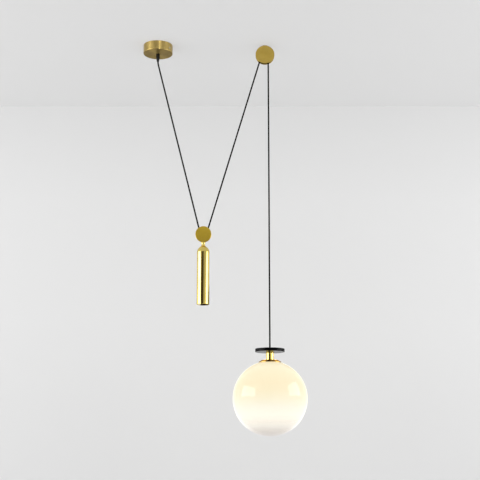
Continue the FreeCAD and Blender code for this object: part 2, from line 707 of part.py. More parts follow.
def ceiling_pulley():
    """The pulley under the ceiling, hung from a block with a tapped hole for a stud."""
    screw_z = HANGER_SCREW_Z - CEILING_PULLEY_Z
    pulley = Pulley("ceiling", CEILING_PULLEY_X, CEILING_PULLEY_Z, CEILING_CHEEK_D,
                    CEILING_CHEEK_T, CEILING_GAP, CEILING_WHEEL_W, CEILING_WHEEL_RIM_D,
                    CEILING_PITCH_R, CEILING_WASHER_T, CEILING_AXLE_D, CEILING_BUSH_D,
                    HANGER_SCREW_D, [(-HANGER_SCREW_X, screw_z), (HANGER_SCREW_X, screw_z)])
    pulley.build("hanger_screws")
    half = CEILING_GAP / 2
    hanger = block(CEILING_PULLEY_X - HANGER_WIDTH / 2, CEILING_PULLEY_X + HANGER_WIDTH / 2,
                   -half, half, HANGER_BOTTOM_Z, 0)
    hanger = hanger.cut(rod(HANGER_STUD_D / 2, -HANGER_STUD_DEPTH, 0, CEILING_PULLEY_X))
    for place in pulley.screws:
        hanger = hanger.cut(pulley.screw(place, SCREW_IN_HOLE))
    save("hanger_block", hanger)


# --------------------------------------------------------------------------------------
# Counterweight
# --------------------------------------------------------------------------------------

def casing():
    """Turned brass casing: a waisted neck, an ogee shoulder and a long plain barrel.

    The sweep below the waist and the sweep of the shoulder meet in a common tangent.
    """
    top_r = NECK_TOP_D / 2
    hollow = (top_r - WAIST_R, NECK_WAIST_DROP)
    upper_half_turn = math.atan2(hollow[0], hollow[1])
    upper_r = NECK_WAIST_DROP / math.sin(2 * upper_half_turn)
    turn = math.degrees(SHOULDER_TURN)
    lower_centre = (WAIST_R + WAIST_LOWER_R, WAIST_Z)
    shoulder_centre = (CASING_R - SHOULDER_R, SHOULDER_Z)
    bore_r = SHANK_D / 2 + SCREW_IN_HOLE
    chamfer = CASING_BASE_CHAMFER
    face = outline(
        (bore_r, NECK_TOP_Z),
        (top_r, NECK_TOP_Z),
        (on_arc(WAIST_R + upper_r, WAIST_Z, upper_r, 180 - math.degrees(upper_half_turn)),
         (WAIST_R, WAIST_Z)),
        (on_arc(*lower_centre, WAIST_LOWER_R, 180 + turn / 2),
         on_arc(*lower_centre, WAIST_LOWER_R, 180 + turn)),
        (on_arc(*shoulder_centre, SHOULDER_R, turn / 2), (CASING_R, SHOULDER_Z)),
        (CASING_R, CASING_BOTTOM_Z + chamfer),
        (CASING_R - chamfer, CASING_BOTTOM_Z),
        (CAVITY_R, CASING_BOTTOM_Z),
        (CAVITY_R, CAVITY_TOP_Z),
        (bore_r, CAVITY_TOP_Z))
    return turned(face, WEIGHT_X)


def counterweight_stem(pulley):
    """Flat tang between the cheeks, and a threaded shank that carries the ballast."""
    half = WEIGHT_GAP / 2
    tang = block(WEIGHT_X - TANG_WIDTH / 2, WEIGHT_X + TANG_WIDTH / 2, -half, half,
                 NECK_TOP_Z, TANG_TOP_Z)
    for place in pulley.screws:
        tang = tang.cut(pulley.screw(place, SCREW_IN_HOLE))
    shank = rod(SHANK_D / 2, CAVITY_TOP_Z - SHANK_IN_BALLAST, NECK_TOP_Z, WEIGHT_X)
    return tang.fuse(shank).removeSplitter()


def bottom_plug():
    """Threaded plug in the foot of the casing, turned with a pin spanner."""
    plug = rod(CAVITY_R - SCREW_IN_HOLE, CASING_BOTTOM_Z, PLUG_TOP_Z, WEIGHT_X)
    for side in (-1, 1):
        pin_x = WEIGHT_X + side * PLUG_PIN_SPACING / 2
        plug = plug.cut(rod(PLUG_PIN_D / 2, CASING_BOTTOM_Z,
                            CASING_BOTTOM_Z + PLUG_PIN_DEPTH, pin_x))
    return plug


def counterweight():
    """The counterweight, hung on the cord by a wheel of its own."""
    screw_z = TANG_SCREW_Z - WEIGHT_Z
    pulley = Pulley("counterweight", WEIGHT_X, WEIGHT_Z, WEIGHT_CHEEK_D, WEIGHT_CHEEK_T,
                    WEIGHT_GAP, WEIGHT_WHEEL_W, WEIGHT_WHEEL_RIM_D, WEIGHT_PITCH_R,
                    WEIGHT_WASHER_T, WEIGHT_AXLE_D, WEIGHT_BUSH_D, TANG_SCREW_D,
                    [(-TANG_SCREW_X, screw_z), (TANG_SCREW_X, screw_z)])
    pulley.build("counterweight_stem_screws")
    save("counterweight_stem", counterweight_stem(pulley))
    save("counterweight_casing", casing())
    ballast_r = CAVITY_R - SLIP
    ballast = rod(ballast_r, PLUG_TOP_Z + BALLAST_SHORT, CAVITY_TOP_Z, WEIGHT_X)
    ballast = ballast.cut(rod(SHANK_D / 2 + SCREW_IN_HOLE,
                              CAVITY_TOP_Z - SHANK_IN_BALLAST - SLIP, CAVITY_TOP_Z, WEIGHT_X))
    save("counterweight_ballast", ballast)
    save("counterweight_bottom_plug", bottom_plug())


# --------------------------------------------------------------------------------------
# Lamp
# --------------------------------------------------------------------------------------

def lamp_disc():
    """Black disc with rounded edges and a pocket for the nut that carries the lamp."""
    edge, radius = DISC_EDGE_R, DISC_D / 2
    low, high = DISC_BOTTOM_Z, LAMP_TOP_Z
    face = outline(
        (NIPPLE_HOLE_R, low),
        (radius - edge, low),
        (on_arc(radius - edge, low + edge, edge, -45), (radius, low + edge)),
        (radius, high - edge),
        (on_arc(radius - edge, high - edge, edge, 45), (radius - edge, high)),
        (DISC_POCKET_D / 2, high),
        (DISC_POCKET_D / 2, POCKET_FLOOR_Z),
        (NIPPLE_HOLE_R, POCKET_FLOOR_Z))
    return turned(face, LAMP_X)


def lamp_neck():
    """Brass tube with a web at its top, under the disc."""
    radius = NECK_D / 2
    face = outline((NIPPLE_HOLE_R, DISC_BOTTOM_Z), (NIPPLE_HOLE_R, DISC_BOTTOM_Z - NECK_WEB),
                   (NECK_BORE_R, DISC_BOTTOM_Z - NECK_WEB), (NECK_BORE_R, CAP_SEAT_Z),
                   (radius, CAP_SEAT_Z), (radius, DISC_BOTTOM_Z))
    return turned(face, LAMP_X)


def globe_cap():
    """Low brass dome over the hole of the globe, with a boss that centres the neck."""
    boss_r = NECK_BORE_R - SLIP
    seat_r = CAP_SEAT_D / 2
    under_r = GLOBE_R + GASKET_SPACE
    land_r = CAP_R - GASKET_FROM_RIM - GASKET_WIDTH - SLIP
    middle = ((seat_r + CAP_R) / 2, (CAP_SEAT_Z + CAP_RIM_Z) / 2 + CAP_BULGE)
    face = outline(
        (NIPPLE_HOLE_R, CAP_SEAT_Z + CAP_BOSS_H),
        (boss_r, CAP_SEAT_Z + CAP_BOSS_H),
        (boss_r, CAP_SEAT_Z),
        (seat_r, CAP_SEAT_Z),
        (middle, (CAP_R, CAP_RIM_Z)),
        on_sphere(under_r, GLOBE_Z, CAP_R),
        (on_sphere(under_r, GLOBE_Z, (CAP_R + land_r) / 2),
         on_sphere(under_r, GLOBE_Z, land_r)),
        (land_r, CAP_CEILING_Z),
        (NIPPLE_HOLE_R, CAP_CEILING_Z))
    return turned(face, LAMP_X)


def globe_gasket():
    """Rubber ring that follows the glass, between the cap and the globe."""
    low_r, high_r = GLOBE_R + SLIP / 2, GLOBE_R + GASKET_SPACE - SLIP / 2
    outer = CAP_R - GASKET_FROM_RIM
    inner = outer - GASKET_WIDTH
    middle = (outer + inner) / 2
    face = outline(
        on_sphere(low_r, GLOBE_Z, inner),
        (on_sphere(low_r, GLOBE_Z, middle), on_sphere(low_r, GLOBE_Z, outer)),
        on_sphere(high_r, GLOBE_Z, outer),
        (on_sphere(high_r, GLOBE_Z, middle), on_sphere(high_r, GLOBE_Z, inner)))
    return turned(face, LAMP_X)


def glass_globe():
    """Blown glass globe with a hole at its top."""
    face = outline(
        on_sphere(GLOBE_INNER_R, GLOBE_Z, GLOBE_HOLE_R),
        on_sphere(GLOBE_R, GLOBE_Z, GLOBE_HOLE_R),
        (on_arc(0, GLOBE_Z, GLOBE_R, 0), (0, GLOBE_Z - GLOBE_R)),
        (0, GLOBE_Z - GLOBE_INNER_R),
        (on_arc(0, GLOBE_Z, GLOBE_INNER_R, 0),
         on_sphere(GLOBE_INNER_R, GLOBE_Z, GLOBE_HOLE_R)))
    return turned(face, LAMP_X)


def clamp_pads():
    """Rubber pads between the ends of the clamp bar and the glass, cut to its curve."""
    glass = Part.makeSphere(GLOBE_INNER_R - SLIP / 2, V(LAMP_X, 0, GLOBE_Z))
    pads = []
    for side in (-1, 1):
        centre = LAMP_X + side * PAD_CENTRE_X
        pad = block(centre - PAD_LENGTH / 2, centre + PAD_LENGTH / 2,
                    -BAR_WIDTH / 2, BAR_WIDTH / 2, BAR_TOP_Z, CAP_SEAT_Z)
        pads.append(pad.common(glass).Solids[0])
    return group(pads)


def clamp_bar():
    """Steel bar that goes through the globe's hole on the slant and then carries it."""
    half = BAR_LENGTH / 2
    bar = block(LAMP_X - half, LAMP_X + half, -BAR_WIDTH / 2, BAR_WIDTH / 2,
                BAR_BOTTOM_Z, BAR_TOP_Z)
    return bar.cut(rod(NIPPLE_HOLE_R, BAR_BOTTOM_Z, BAR_TOP_Z, LAMP_X))


def holder_dome():
    """Domed upper half of the lampholder, tapped for the nipple."""
    radius, wall = HOLDER_D / 2, HOLDER_WALL
    round_r = radius - NIPPLE_D
    inner_round = round_r - wall
    top, low = HOLDER_TOP_Z, HOLDER_SPLIT_Z
    boss_r = NIPPLE_R + wall
    face = outline(
        (NIPPLE_HOLE_R, top),
        (radius - round_r, top),
        (on_arc(radius - round_r, top - round_r, round_r, 45), (radius, top - round_r)),
        (radius, low),
        (radius - wall, low),
        (radius - wall, top - round_r),
        (on_arc(radius - round_r, top - round_r, inner_round, 45),
         (radius - round_r, top - wall)),
        (boss_r, top - wall),
        (boss_r, NIPPLE_BOTTOM_Z),
        (NIPPLE_HOLE_R, NIPPLE_BOTTOM_Z))
    return turned(face, LAMP_X)


def bulb_envelope():
    """Pear-shaped opal bulb: a ball and a flank tangent to it, thin walled."""
    radius, neck_r = BULB_D / 2, BULB_BASE_D / 2
    rise = BULB_BASE_BOTTOM_Z - BULB_Z
    slope = math.degrees(math.atan2(rise, neck_r) - math.acos(radius / math.hypot(rise, neck_r)))
    thin = radius - BULB_WALL
    inner_neck = neck_r - BULB_WALL
    face = outline(
        (0, BULB_Z - radius),
        (on_arc(0, BULB_Z, radius, slope / 2 - 45), on_arc(0, BULB_Z, radius, slope)),
        (neck_r, BULB_BASE_BOTTOM_Z),
        (0, BULB_BASE_BOTTOM_Z),
        (0, BULB_BASE_BOTTOM_Z - BULB_WALL),
        (inner_neck, BULB_BASE_BOTTOM_Z - BULB_WALL),
        on_arc(0, BULB_Z, thin, slope),
        (on_arc(0, BULB_Z, thin, slope / 2 - 45), (0, BULB_Z - thin)))
    return turned(face, LAMP_X)


def lamp():
    """The lamp, from the black disc down to the bulb."""
    save("lamp_disc", lamp_disc())
    save("lamp_cord_bush", ring(DISC_POCKET_D / 2 - SLIP, CORD_BORE_R,
                                LAMP_TOP_Z - BUSH_T, LAMP_TOP_Z, LAMP_X))
    save("lamp_nipple", ring(NIPPLE_R, NIPPLE_R - NIPPLE_WALL,
                             NIPPLE_BOTTOM_Z, NIPPLE_TOP_Z, LAMP_X))
    save("lamp_top_nut", hex_nut(TOP_NUT_ACROSS, NIPPLE_HOLE_R, POCKET_FLOOR_Z,
                                 POCKET_FLOOR_Z + TOP_NUT_T, LAMP_X))
    save("lamp_neck", lamp_neck())
    save("globe_cap", globe_cap())
    save("globe_gasket", globe_gasket())
    save("glass_globe", glass_globe())
    save("globe_clamp_bar", clamp_bar())
    save("globe_clamp_pads", clamp_pads())
    save("globe_clamp_nut", hex_nut(CLAMP_NUT_ACROSS, NIPPLE_HOLE_R, CLAMP_NUT_BOTTOM_Z,
                                    BAR_BOTTOM_Z, LAMP_X))
    save("lampholder_dome", holder_dome())
    save("lampholder_body", ring(HOLDER_D / 2, HOLDER_INNER_R,
                                 HOLDER_BOTTOM_Z, HOLDER_SPLIT_Z, LAMP_X))
    save("lampholder_insert", rod(HOLDER_INNER_R - SLIP, INSERT_BOTTOM_Z,
                                  HOLDER_SPLIT_Z - SLIP, LAMP_X))
    save("lampholder_screw_shell", ring(SHELL_OUTER_R, SHELL_INNER_R,
                                        INSERT_BOTTOM_Z - SHELL_LENGTH, INSERT_BOTTOM_Z,
                                        LAMP_X))
    save("lampholder_contact", rod(CONTACT_D / 2, CONTACT_BOTTOM_Z, INSERT_BOTTOM_Z, LAMP_X))
    save("bulb_tip", rod(BULB_TIP_D / 2, BULB_BASE_TOP_Z, CONTACT_BOTTOM_Z, LAMP_X))
    save("bulb_base", rod(BULB_BASE_D / 2, BULB_BASE_BOTTOM_Z, BULB_BASE_TOP_Z, LAMP_X))
    save("bulb_envelope", bulb_envelope())


def main():
    """Build and write every node."""
    os.makedirs("parts", exist_ok=True)
    canopy()
    ceiling_pulley()
    counterweight()
    lamp()
    cords()


main()
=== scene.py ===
"""Looks of a rise and fall pendant: canopy, cord, two pulleys, counterweight and globe lamp.

Sizes are written in millimetres and meshes are built in metres, in the frame of the part:
the origin is the centre of the canopy on the ceiling, X runs towards the lamp, Z is up and
the viewer stands on the -Y side.
"""
import functools
import logging
import math
from collections.abc import Sequence
from dataclasses import dataclass
from enum import Enum

import bmesh
import bpy
from mathutils import Matrix, Vector


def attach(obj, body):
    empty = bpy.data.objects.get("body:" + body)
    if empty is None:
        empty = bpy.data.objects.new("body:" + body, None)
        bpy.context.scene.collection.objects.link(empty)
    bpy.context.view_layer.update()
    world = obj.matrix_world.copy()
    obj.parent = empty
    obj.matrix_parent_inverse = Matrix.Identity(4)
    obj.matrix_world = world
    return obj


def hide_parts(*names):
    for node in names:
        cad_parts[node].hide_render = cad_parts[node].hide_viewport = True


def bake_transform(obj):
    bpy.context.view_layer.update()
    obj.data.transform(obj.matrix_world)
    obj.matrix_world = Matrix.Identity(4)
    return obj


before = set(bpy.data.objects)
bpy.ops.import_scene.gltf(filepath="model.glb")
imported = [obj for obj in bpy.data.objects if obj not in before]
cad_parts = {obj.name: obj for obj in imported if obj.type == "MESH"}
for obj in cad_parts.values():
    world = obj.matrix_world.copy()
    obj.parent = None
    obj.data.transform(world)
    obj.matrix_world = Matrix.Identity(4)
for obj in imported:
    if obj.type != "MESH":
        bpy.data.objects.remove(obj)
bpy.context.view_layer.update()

MM = 0.001
LOG = logging.getLogger("pendant")
Point = tuple[float, float]


# ---------------------------------------------------------------------------------------
# Nodes, profiles and turned meshes
# ---------------------------------------------------------------------------------------

def linear(colour: str) -> tuple[float, float, float, float]:
    """Turn an sRGB hex colour into linear light.

    Args:
        colour: a hash and six hex digits.

    Returns:
        Linear red, green and blue, and a full alpha.
    """
    parts = [int(colour[k:k + 2], 16) / 255 for k in (1, 3, 5)]
    red, green, blue = (c / 12.92 if c <= 0.04045 else ((c + 0.055) / 1.055) ** 2.4 for c in parts)
    return red, green, blue, 1.0


def add_node(
    tree: bpy.types.NodeTree,
    kind: str,
    settings: dict[str, object] | None = None,
    values: dict[str | int, object] | None = None,
    links: dict[str | int, bpy.types.NodeSocket] | None = None,
    stops: Sequence[tuple[float, str]] = (),
) -> bpy.types.Node:
    """Add one node with its settings, input values and incoming links.

    Args:
        tree: the shader or geometry tree.
        kind: the node's type name.
        settings: properties of the node itself.
        values: default values by input name or index.
        links: source sockets by input name or index.
        stops: places and hex colours of a colour ramp, in rising order.

    Returns:
        The new node.
    """
    node = tree.nodes.new(kind)
    for key, value in (settings or {}).items():
        setattr(node, key, value)
    if stops:
        elements = node.color_ramp.elements
        for element, (place, colour) in zip((elements[0], elements[1]), (stops[0], stops[-1])):
            element.position = place
            element.color = linear(colour)
        for place, colour in stops[1:-1]:
            elements.new(place).color = linear(colour)
    for key, value in (values or {}).items():
        node.inputs[key].default_value = value
    for key, source in (links or {}).items():
        tree.links.new(source, node.inputs[key])
    return node


def arc(centre: Point, radius: float, start: float, end: float, steps: int = 12) -> list[Point]:
    """Points of an arc in a profile, both ends included.

    Args:
        centre: radius and height of its centre.
        radius: its radius.
        start: first direction in degrees, 0 outwards and 90 up.
        end: last direction in degrees.
        steps: how many chords stand for it.

    Returns:
        The points, as radius and height.
    """
    angles = [math.radians(start + (end - start) * k / steps) for k in range(steps + 1)]
    return [(centre[0] + radius * math.cos(a), centre[1] + radius * math.sin(a)) for a in angles]


def bowed(first: Point, middle: Point, last: Point, steps: int = 16) -> list[Point]:
    """Points of the arc through three points of a profile.

    Args:
        first: where it starts.
        middle: a point on it.
        last: where it ends.
        steps: how many chords stand for it.

    Returns:
        The points, both ends included.
    """
    (ax, ay), (bx, by), (cx, cy) = first, middle, last
    d = 2 * (ax * (by - cy) + bx * (cy - ay) + cx * (ay - by))
    ux = ((ax * ax + ay * ay) * (by - cy) + (bx * bx + by * by) * (cy - ay)
          + (cx * cx + cy * cy) * (ay - by)) / d
    uy = ((ax * ax + ay * ay) * (cx - bx) + (bx * bx + by * by) * (ax - cx)
          + (cx * cx + cy * cy) * (bx - ax)) / d
    start, end = math.atan2(ay - uy, ax - ux), math.atan2(cy - uy, cx - ux)
    return arc((ux, uy), math.hypot(ax - ux, ay - uy), math.degrees(start), math.degrees(end),
               steps)


class Lie(Enum):
    """How the axis of a turned piece lies."""

    UPRIGHT = "upright"
    ACROSS = "across"


def held(profile: Sequence[Point], least: float = 6.0, margin: float = 0.3) -> list[Point]:
    """Add a point close to both ends of each long straight, so that it shades flat.

    Args:
        profile: the points of a profile.
        least: length in millimetres from which a straight counts as long.
        margin: how far from its ends the new points stand.

    Returns:
        The profile with the new points.
    """
    points = [profile[0]]
    for (ax, ay), (bx, by) in zip(profile, profile[1:]):
        run = math.hypot(bx - ax, by - ay)
        if run > least:
            x, y = (bx - ax) * margin / run, (by - ay) * margin / run
            points += [(ax + x, ay + y), (bx - x, by - y)]
        points.append((bx, by))
    return points


def turned(
    name: str,
    profile: Sequence[Point],
    centre: tuple[float, float, float] = (0.0, 0.0, 0.0),
    lie: Lie = Lie.UPRIGHT,
    segments: int = 128,
) -> bpy.types.Object:
    """Turn a profile into a closed mesh with a UV map that runs around and along it.

    Args:
        name: the object's name.
        profile: radius and height of each point in millimetres. It closes on itself unless
            both its ends lie on the axis.
        centre: where the axis and height 0 stand, in millimetres.
        lie: upright, or across with the heights along +Y.
        segments: how many flats go round.

    Returns:
        The object, linked to the scene.
    """
    made = bmesh.new()
    uv = made.loops.layers.uv.new("UVMap")
    profile = held(profile)
    rings = []
    for radius, height in profile:
        count = 1 if radius < 1e-6 else segments
        angles = [2 * math.pi * k / segments for k in range(count)]
        rings.append([made.verts.new((radius * MM * math.cos(a), radius * MM * math.sin(a),
                                      height * MM)) for a in angles])
    travelled = [0.0]
    for here, there in zip(profile, profile[1:]):
        travelled.append(travelled[-1] + math.dist(here, there) * MM)
    steps = list(zip(range(len(profile)), range(1, len(profile))))
    if profile[0][0] > 1e-6 or profile[-1][0] > 1e-6:
        steps.append((len(profile) - 1, 0))
        travelled.append(travelled[-1] + math.dist(profile[-1], profile[0]) * MM)
    for low, high in steps:
        a, b = rings[low], rings[high]
        if len(a) == 1 and len(b) == 1:
            continue
        v_low, v_high = travelled[low], travelled[low + 1]
        for k in range(segments):
            nxt = (k + 1) % segments
            corners = [(a[k % len(a)], k, v_low), (a[nxt % len(a)], k + 1, v_low),
                       (b[nxt % len(b)], k + 1, v_high), (b[k % len(b)], k, v_high)]
            kept = [c for i, c in enumerate(corners) if c[0] not in [d[0] for d in corners[:i]]]
            face = made.faces.new([c[0] for c in kept])
            for loop, (_, around, along) in zip(face.loops, kept):
                loop[uv].uv = (around / segments, along)
    bmesh.ops.recalc_face_normals(made, faces=made.faces)
    if lie is Lie.ACROSS:
        made.transform(Matrix.Rotation(-math.pi / 2, 4, "X"))
    made.transform(Matrix.Translation(Vector(centre) * MM))
    mesh = bpy.data.meshes.new(name)
    made.to_mesh(mesh)
    made.free()
    return shown(name, mesh)


def shown(name: str, mesh: bpy.types.Mesh, crease: float = 32.0) -> bpy.types.Object:
    """Link a mesh to the scene, smooth but for its sharp edges.

    Args:
        name: the object's name.
        mesh: its mesh.
        crease: the angle in degrees past which an edge stays sharp.

    Returns:
        The object.
    """
    mesh.polygons.foreach_set("use_smooth", [True] * len(mesh.polygons))
    mesh.set_sharp_from_angle(angle=math.radians(crease))
    piece = bpy.data.objects.new(name, mesh)
    bpy.context.scene.collection.objects.link(piece)
    return piece


def made_by(source: bpy.types.Object, tree: bpy.types.NodeTree,
            values: dict[str, object]) -> bpy.types.Mesh:
    """Run a geometry tree on an object and keep the result as a plain mesh.

    Args:
        source: the object that the tree starts from, which is removed.
        tree: the tree, with named inputs.
        values: what each input is given.

    Returns:
        The finished mesh.
    """
    modifier = source.modifiers.new(tree.name, "NODES")
    modifier.node_group = tree
    sockets = {item.name: item.identifier for item in tree.interface.items_tree
               if item.item_type == "SOCKET" and item.in_out == "INPUT"}
    for name, value in values.items():
        modifier[sockets[name]] = value
    depsgraph = bpy.context.evaluated_depsgraph_get()
    mesh = bpy.data.meshes.new_from_object(source.evaluated_get(depsgraph), depsgraph=depsgraph)
    source.modifiers.remove(modifier)
    bpy.data.objects.remove(source)
    return mesh


def new_tree(name: str, inputs: Sequence[tuple[str, str]]) -> tuple[bpy.types.NodeTree,
                                                                    bpy.types.Node]:
    """Start a geometry tree with named inputs.

    Args:
        name: the tree's name.
        inputs: name and socket type of each input after the geometry.

    Returns:
        The tree and its input node.
    """
    tree = bpy.data.node_groups.new(name, "GeometryNodeTree")
    tree.is_modifier = True
    for title, kind in (("Geometry", "NodeSocketGeometry"), *inputs):
        tree.interface.new_socket(title, in_out="INPUT", socket_type=kind)
    tree.interface.new_socket("Geometry", in_out="OUTPUT", socket_type="NodeSocketGeometry")
    return tree, add_node(tree, "NodeGroupInput")


def end_tree(tree: bpy.types.NodeTree, geometry: bpy.types.NodeSocket,
             finish: bpy.types.NodeSocket) -> None:
    """Realize what a tree made and give it its material.

    Args:
        tree: the tree to end.
        geometry: what it made.
        finish: the input that carries the material.
    """
    real = add_node(tree, "GeometryNodeRealizeInstances", links={0: geometry})
    dressed = add_node(tree, "GeometryNodeSetMaterial",
                       links={"Geometry": real.outputs[0], "Material": finish})
    add_node(tree, "NodeGroupOutput", links={0: dressed.outputs[0]})


# ---------------------------------------------------------------------------------------
# Finishes
# ---------------------------------------------------------------------------------------

@dataclass(frozen=True)
class Finish:
    """A surface as its maker left it. Each one builds its material once."""

    name: str

    @functools.cache
    def material(self) -> bpy.types.Material:
        """Build the material, or return the one that was built.

        Returns:
            The material.
        """
        made = bpy.data.materials.new(self.name)
        made.use_nodes = True
        made.node_tree.nodes.clear()
        surface = self.surface(made.node_tree)
        add_node(made.node_tree, "ShaderNodeOutputMaterial", links={0: surface})
        return made

    def surface(self, tree: bpy.types.NodeTree) -> bpy.types.NodeSocket:
        """Add the nodes of the finish and return the shader that they end in."""
        raise NotImplementedError

    def clouds(self, tree: bpy.types.NodeTree, size_mm: float,
               detail: float = 3.0) -> bpy.types.NodeSocket:
        """A soft pattern on the piece's own coordinates.

        Args:
            tree: the material's tree.
            size_mm: how large its patches are.
            detail: how many finer layers it has.

        Returns:
            The pattern's value.
        """
        place = add_node(tree, "ShaderNodeTexCoord")
        return add_node(tree, "ShaderNodeTexNoise",
                        values={"Scale": 1 / (size_mm * MM), "Detail": detail},
                        links={"Vector": place.outputs["Object"]}).outputs[0]

    def mottled(self, tree: bpy.types.NodeTree, size_mm: float, colours: tuple[str, str],
                window: Point, roughness: Point) -> dict[str, bpy.types.NodeSocket]:
        """Colour and roughness that change together from patch to patch.

        Args:
            tree: the material's tree.
            size_mm: how large the patches are.
            colours: hex colours of the dark and the light patches.
            window: values of the pattern between which the roughness changes.
            roughness: its value at both ends of the window.

        Returns:
            The sources of the base colour and the roughness.
        """
        cloud = self.clouds(tree, size_mm)
        tint = add_node(tree, "ShaderNodeValToRGB", links={0: cloud},
                        stops=[(0.3, colours[0]), (0.7, colours[1])])
        gloss = add_node(tree, "ShaderNodeMapRange", links={"Value": cloud},
                         values={"From Min": window[0], "From Max": window[1],
                                 "To Min": roughness[0], "To Max": roughness[1]})
        return {"Base Color": tint.outputs[0], "Roughness": gloss.outputs[0]}

    def relief(self, tree: bpy.types.NodeTree, pattern: bpy.types.NodeSocket, depth_mm: float,
               strength: float = 1.0) -> bpy.types.NodeSocket:
        """Raise a pattern into a relief of this depth."""
        return add_node(tree, "ShaderNodeBump", links={"Height": pattern},
                        values={"Strength": strength, "Distance": depth_mm * MM}).outputs[0]

    def around_and_along(self, tree: bpy.types.NodeTree) -> bpy.types.NodeOutputs:
        """Read the UV map of a turned or sleeved piece: X runs around it and Y along it."""
        place = add_node(tree, "ShaderNodeUVMap", settings={"uv_map": "UVMap"})
        return add_node(tree, "ShaderNodeSeparateXYZ", links={0: place.outputs[0]}).outputs


@dataclass(frozen=True)
class Metal(Finish):
    """A bare metal, satin or polished, with the lines that turning leaves round it."""

    colour: str
    deep: str
    roughness: float
    spread: float = 0.04
    patch_mm: float = 30.0
    line_mm: float = 0.0
    line_depth_mm: float = 0.0
    stretch: float = 0.0

    def surface(self, tree: bpy.types.NodeTree) -> bpy.types.NodeSocket:
        """Mottled metal, with fine lines round a turned piece and a pulled highlight.

        Args:
            tree: the material's tree.

        Returns:
            The output of its shader.
        """
        links = self.mottled(tree, self.patch_mm, (self.deep, self.colour), (0.3, 0.7),
                             (self.roughness + self.spread, self.roughness - self.spread))
        if self.line_mm:
            lines = add_node(tree, "ShaderNodeTexNoise", settings={"noise_dimensions": "1D"},
                             values={"Scale": 1 / (self.line_mm * MM), "Detail": 2.0},
                             links={"W": self.around_and_along(tree)["Y"]})
            links["Normal"] = self.relief(tree, lines.outputs[0], self.line_depth_mm)
        if self.stretch:
            grain = add_node(tree, "ShaderNodeTangent",
                             settings={"direction_type": "UV_MAP", "uv_map": "UVMap"})
            links["Tangent"] = grain.outputs[0]
        return add_node(tree, "ShaderNodeBsdfPrincipled", links=links,
                        values={"Metallic": 1.0, "Anisotropic": self.stretch,
                                "Anisotropic Rotation": 0.25}).outputs[0]


@dataclass(frozen=True)
class Moulded(Finish):
    """A plastic, rubber or paint with a faint skin from its mould or its spray."""

    colour: str
    deep: str
    roughness: float
    patch_mm: float = 18.0
    grain_mm: float = 0.8
    grain_depth_mm: float = 0.01
    gloss: float = 0.5

    def surface(self, tree: bpy.types.NodeTree) -> bpy.types.NodeSocket:
        """Clouded colour and a fine skin.

        Args:
            tree: the material's tree.

        Returns:
            The output of its shader.
        """
        links = self.mottled(tree, self.patch_mm, (self.deep, self.colour), (0.0, 1.0),
                             (self.roughness * 1.2, self.roughness * 0.8))
        skin = self.clouds(tree, self.grain_mm, 1.0)
        links["Normal"] = self.relief(tree, skin, self.grain_depth_mm, 0.6)
        return add_node(tree, "ShaderNodeBsdfPrincipled", links=links,
                        values={"Specular IOR Level": self.gloss}).outputs[0]


@dataclass(frozen=True)
class Braid(Finish):
    """A textile sleeve of yarns that cross at 45 degrees round the cord."""

    colour: str
    # Colour where the yarns dip: painted shade between the yarns.
    deep: str
    carriers: int = 12
    pitch_mm: float = 1.7
    rise_mm: float = 0.25
    roughness: float = 0.8
    gloss: float = 0.05

    def surface(self, tree: bpy.types.NodeTree) -> bpy.types.NodeSocket:
        """Two sets of yarns from the sleeve's UV map, one winding each way.

        Args:
            tree: the material's tree.

        Returns:
            The output of its shader.
        """
        uv = self.around_and_along(tree)
        yarns = []
        for way in (1, -1):
            along = add_node(tree, "ShaderNodeMath", settings={"operation": "MULTIPLY"},
                             values={1: way * 2 * math.pi / (self.pitch_mm * MM)},
                             links={0: uv["Y"]})
            phase = add_node(tree, "ShaderNodeMath", settings={"operation": "MULTIPLY_ADD"},
                             values={1: 2 * math.pi * self.carriers},
                             links={0: uv["X"], 2: along.outputs[0]})
            yarns.append(add_node(tree, "ShaderNodeMath", settings={"operation": "SINE"},
                                  links={0: phase.outputs[0]}).outputs[0])
        over = add_node(tree, "ShaderNodeMath", settings={"operation": "MAXIMUM"},
                        links={0: yarns[0], 1: yarns[1]}).outputs[0]
        # Darker where the yarns dip: painted shade between the yarns.
        tint = add_node(tree, "ShaderNodeValToRGB", links={0: over},
                        stops=[(0.0, self.deep), (0.9, self.colour)])
        weave = self.relief(tree, over, self.rise_mm, 0.8)
        return add_node(tree, "ShaderNodeBsdfPrincipled",
                        links={"Base Color": tint.outputs[0], "Normal": weave},
                        values={"Roughness": self.roughness,
                                "Specular IOR Level": self.gloss}).outputs[0]


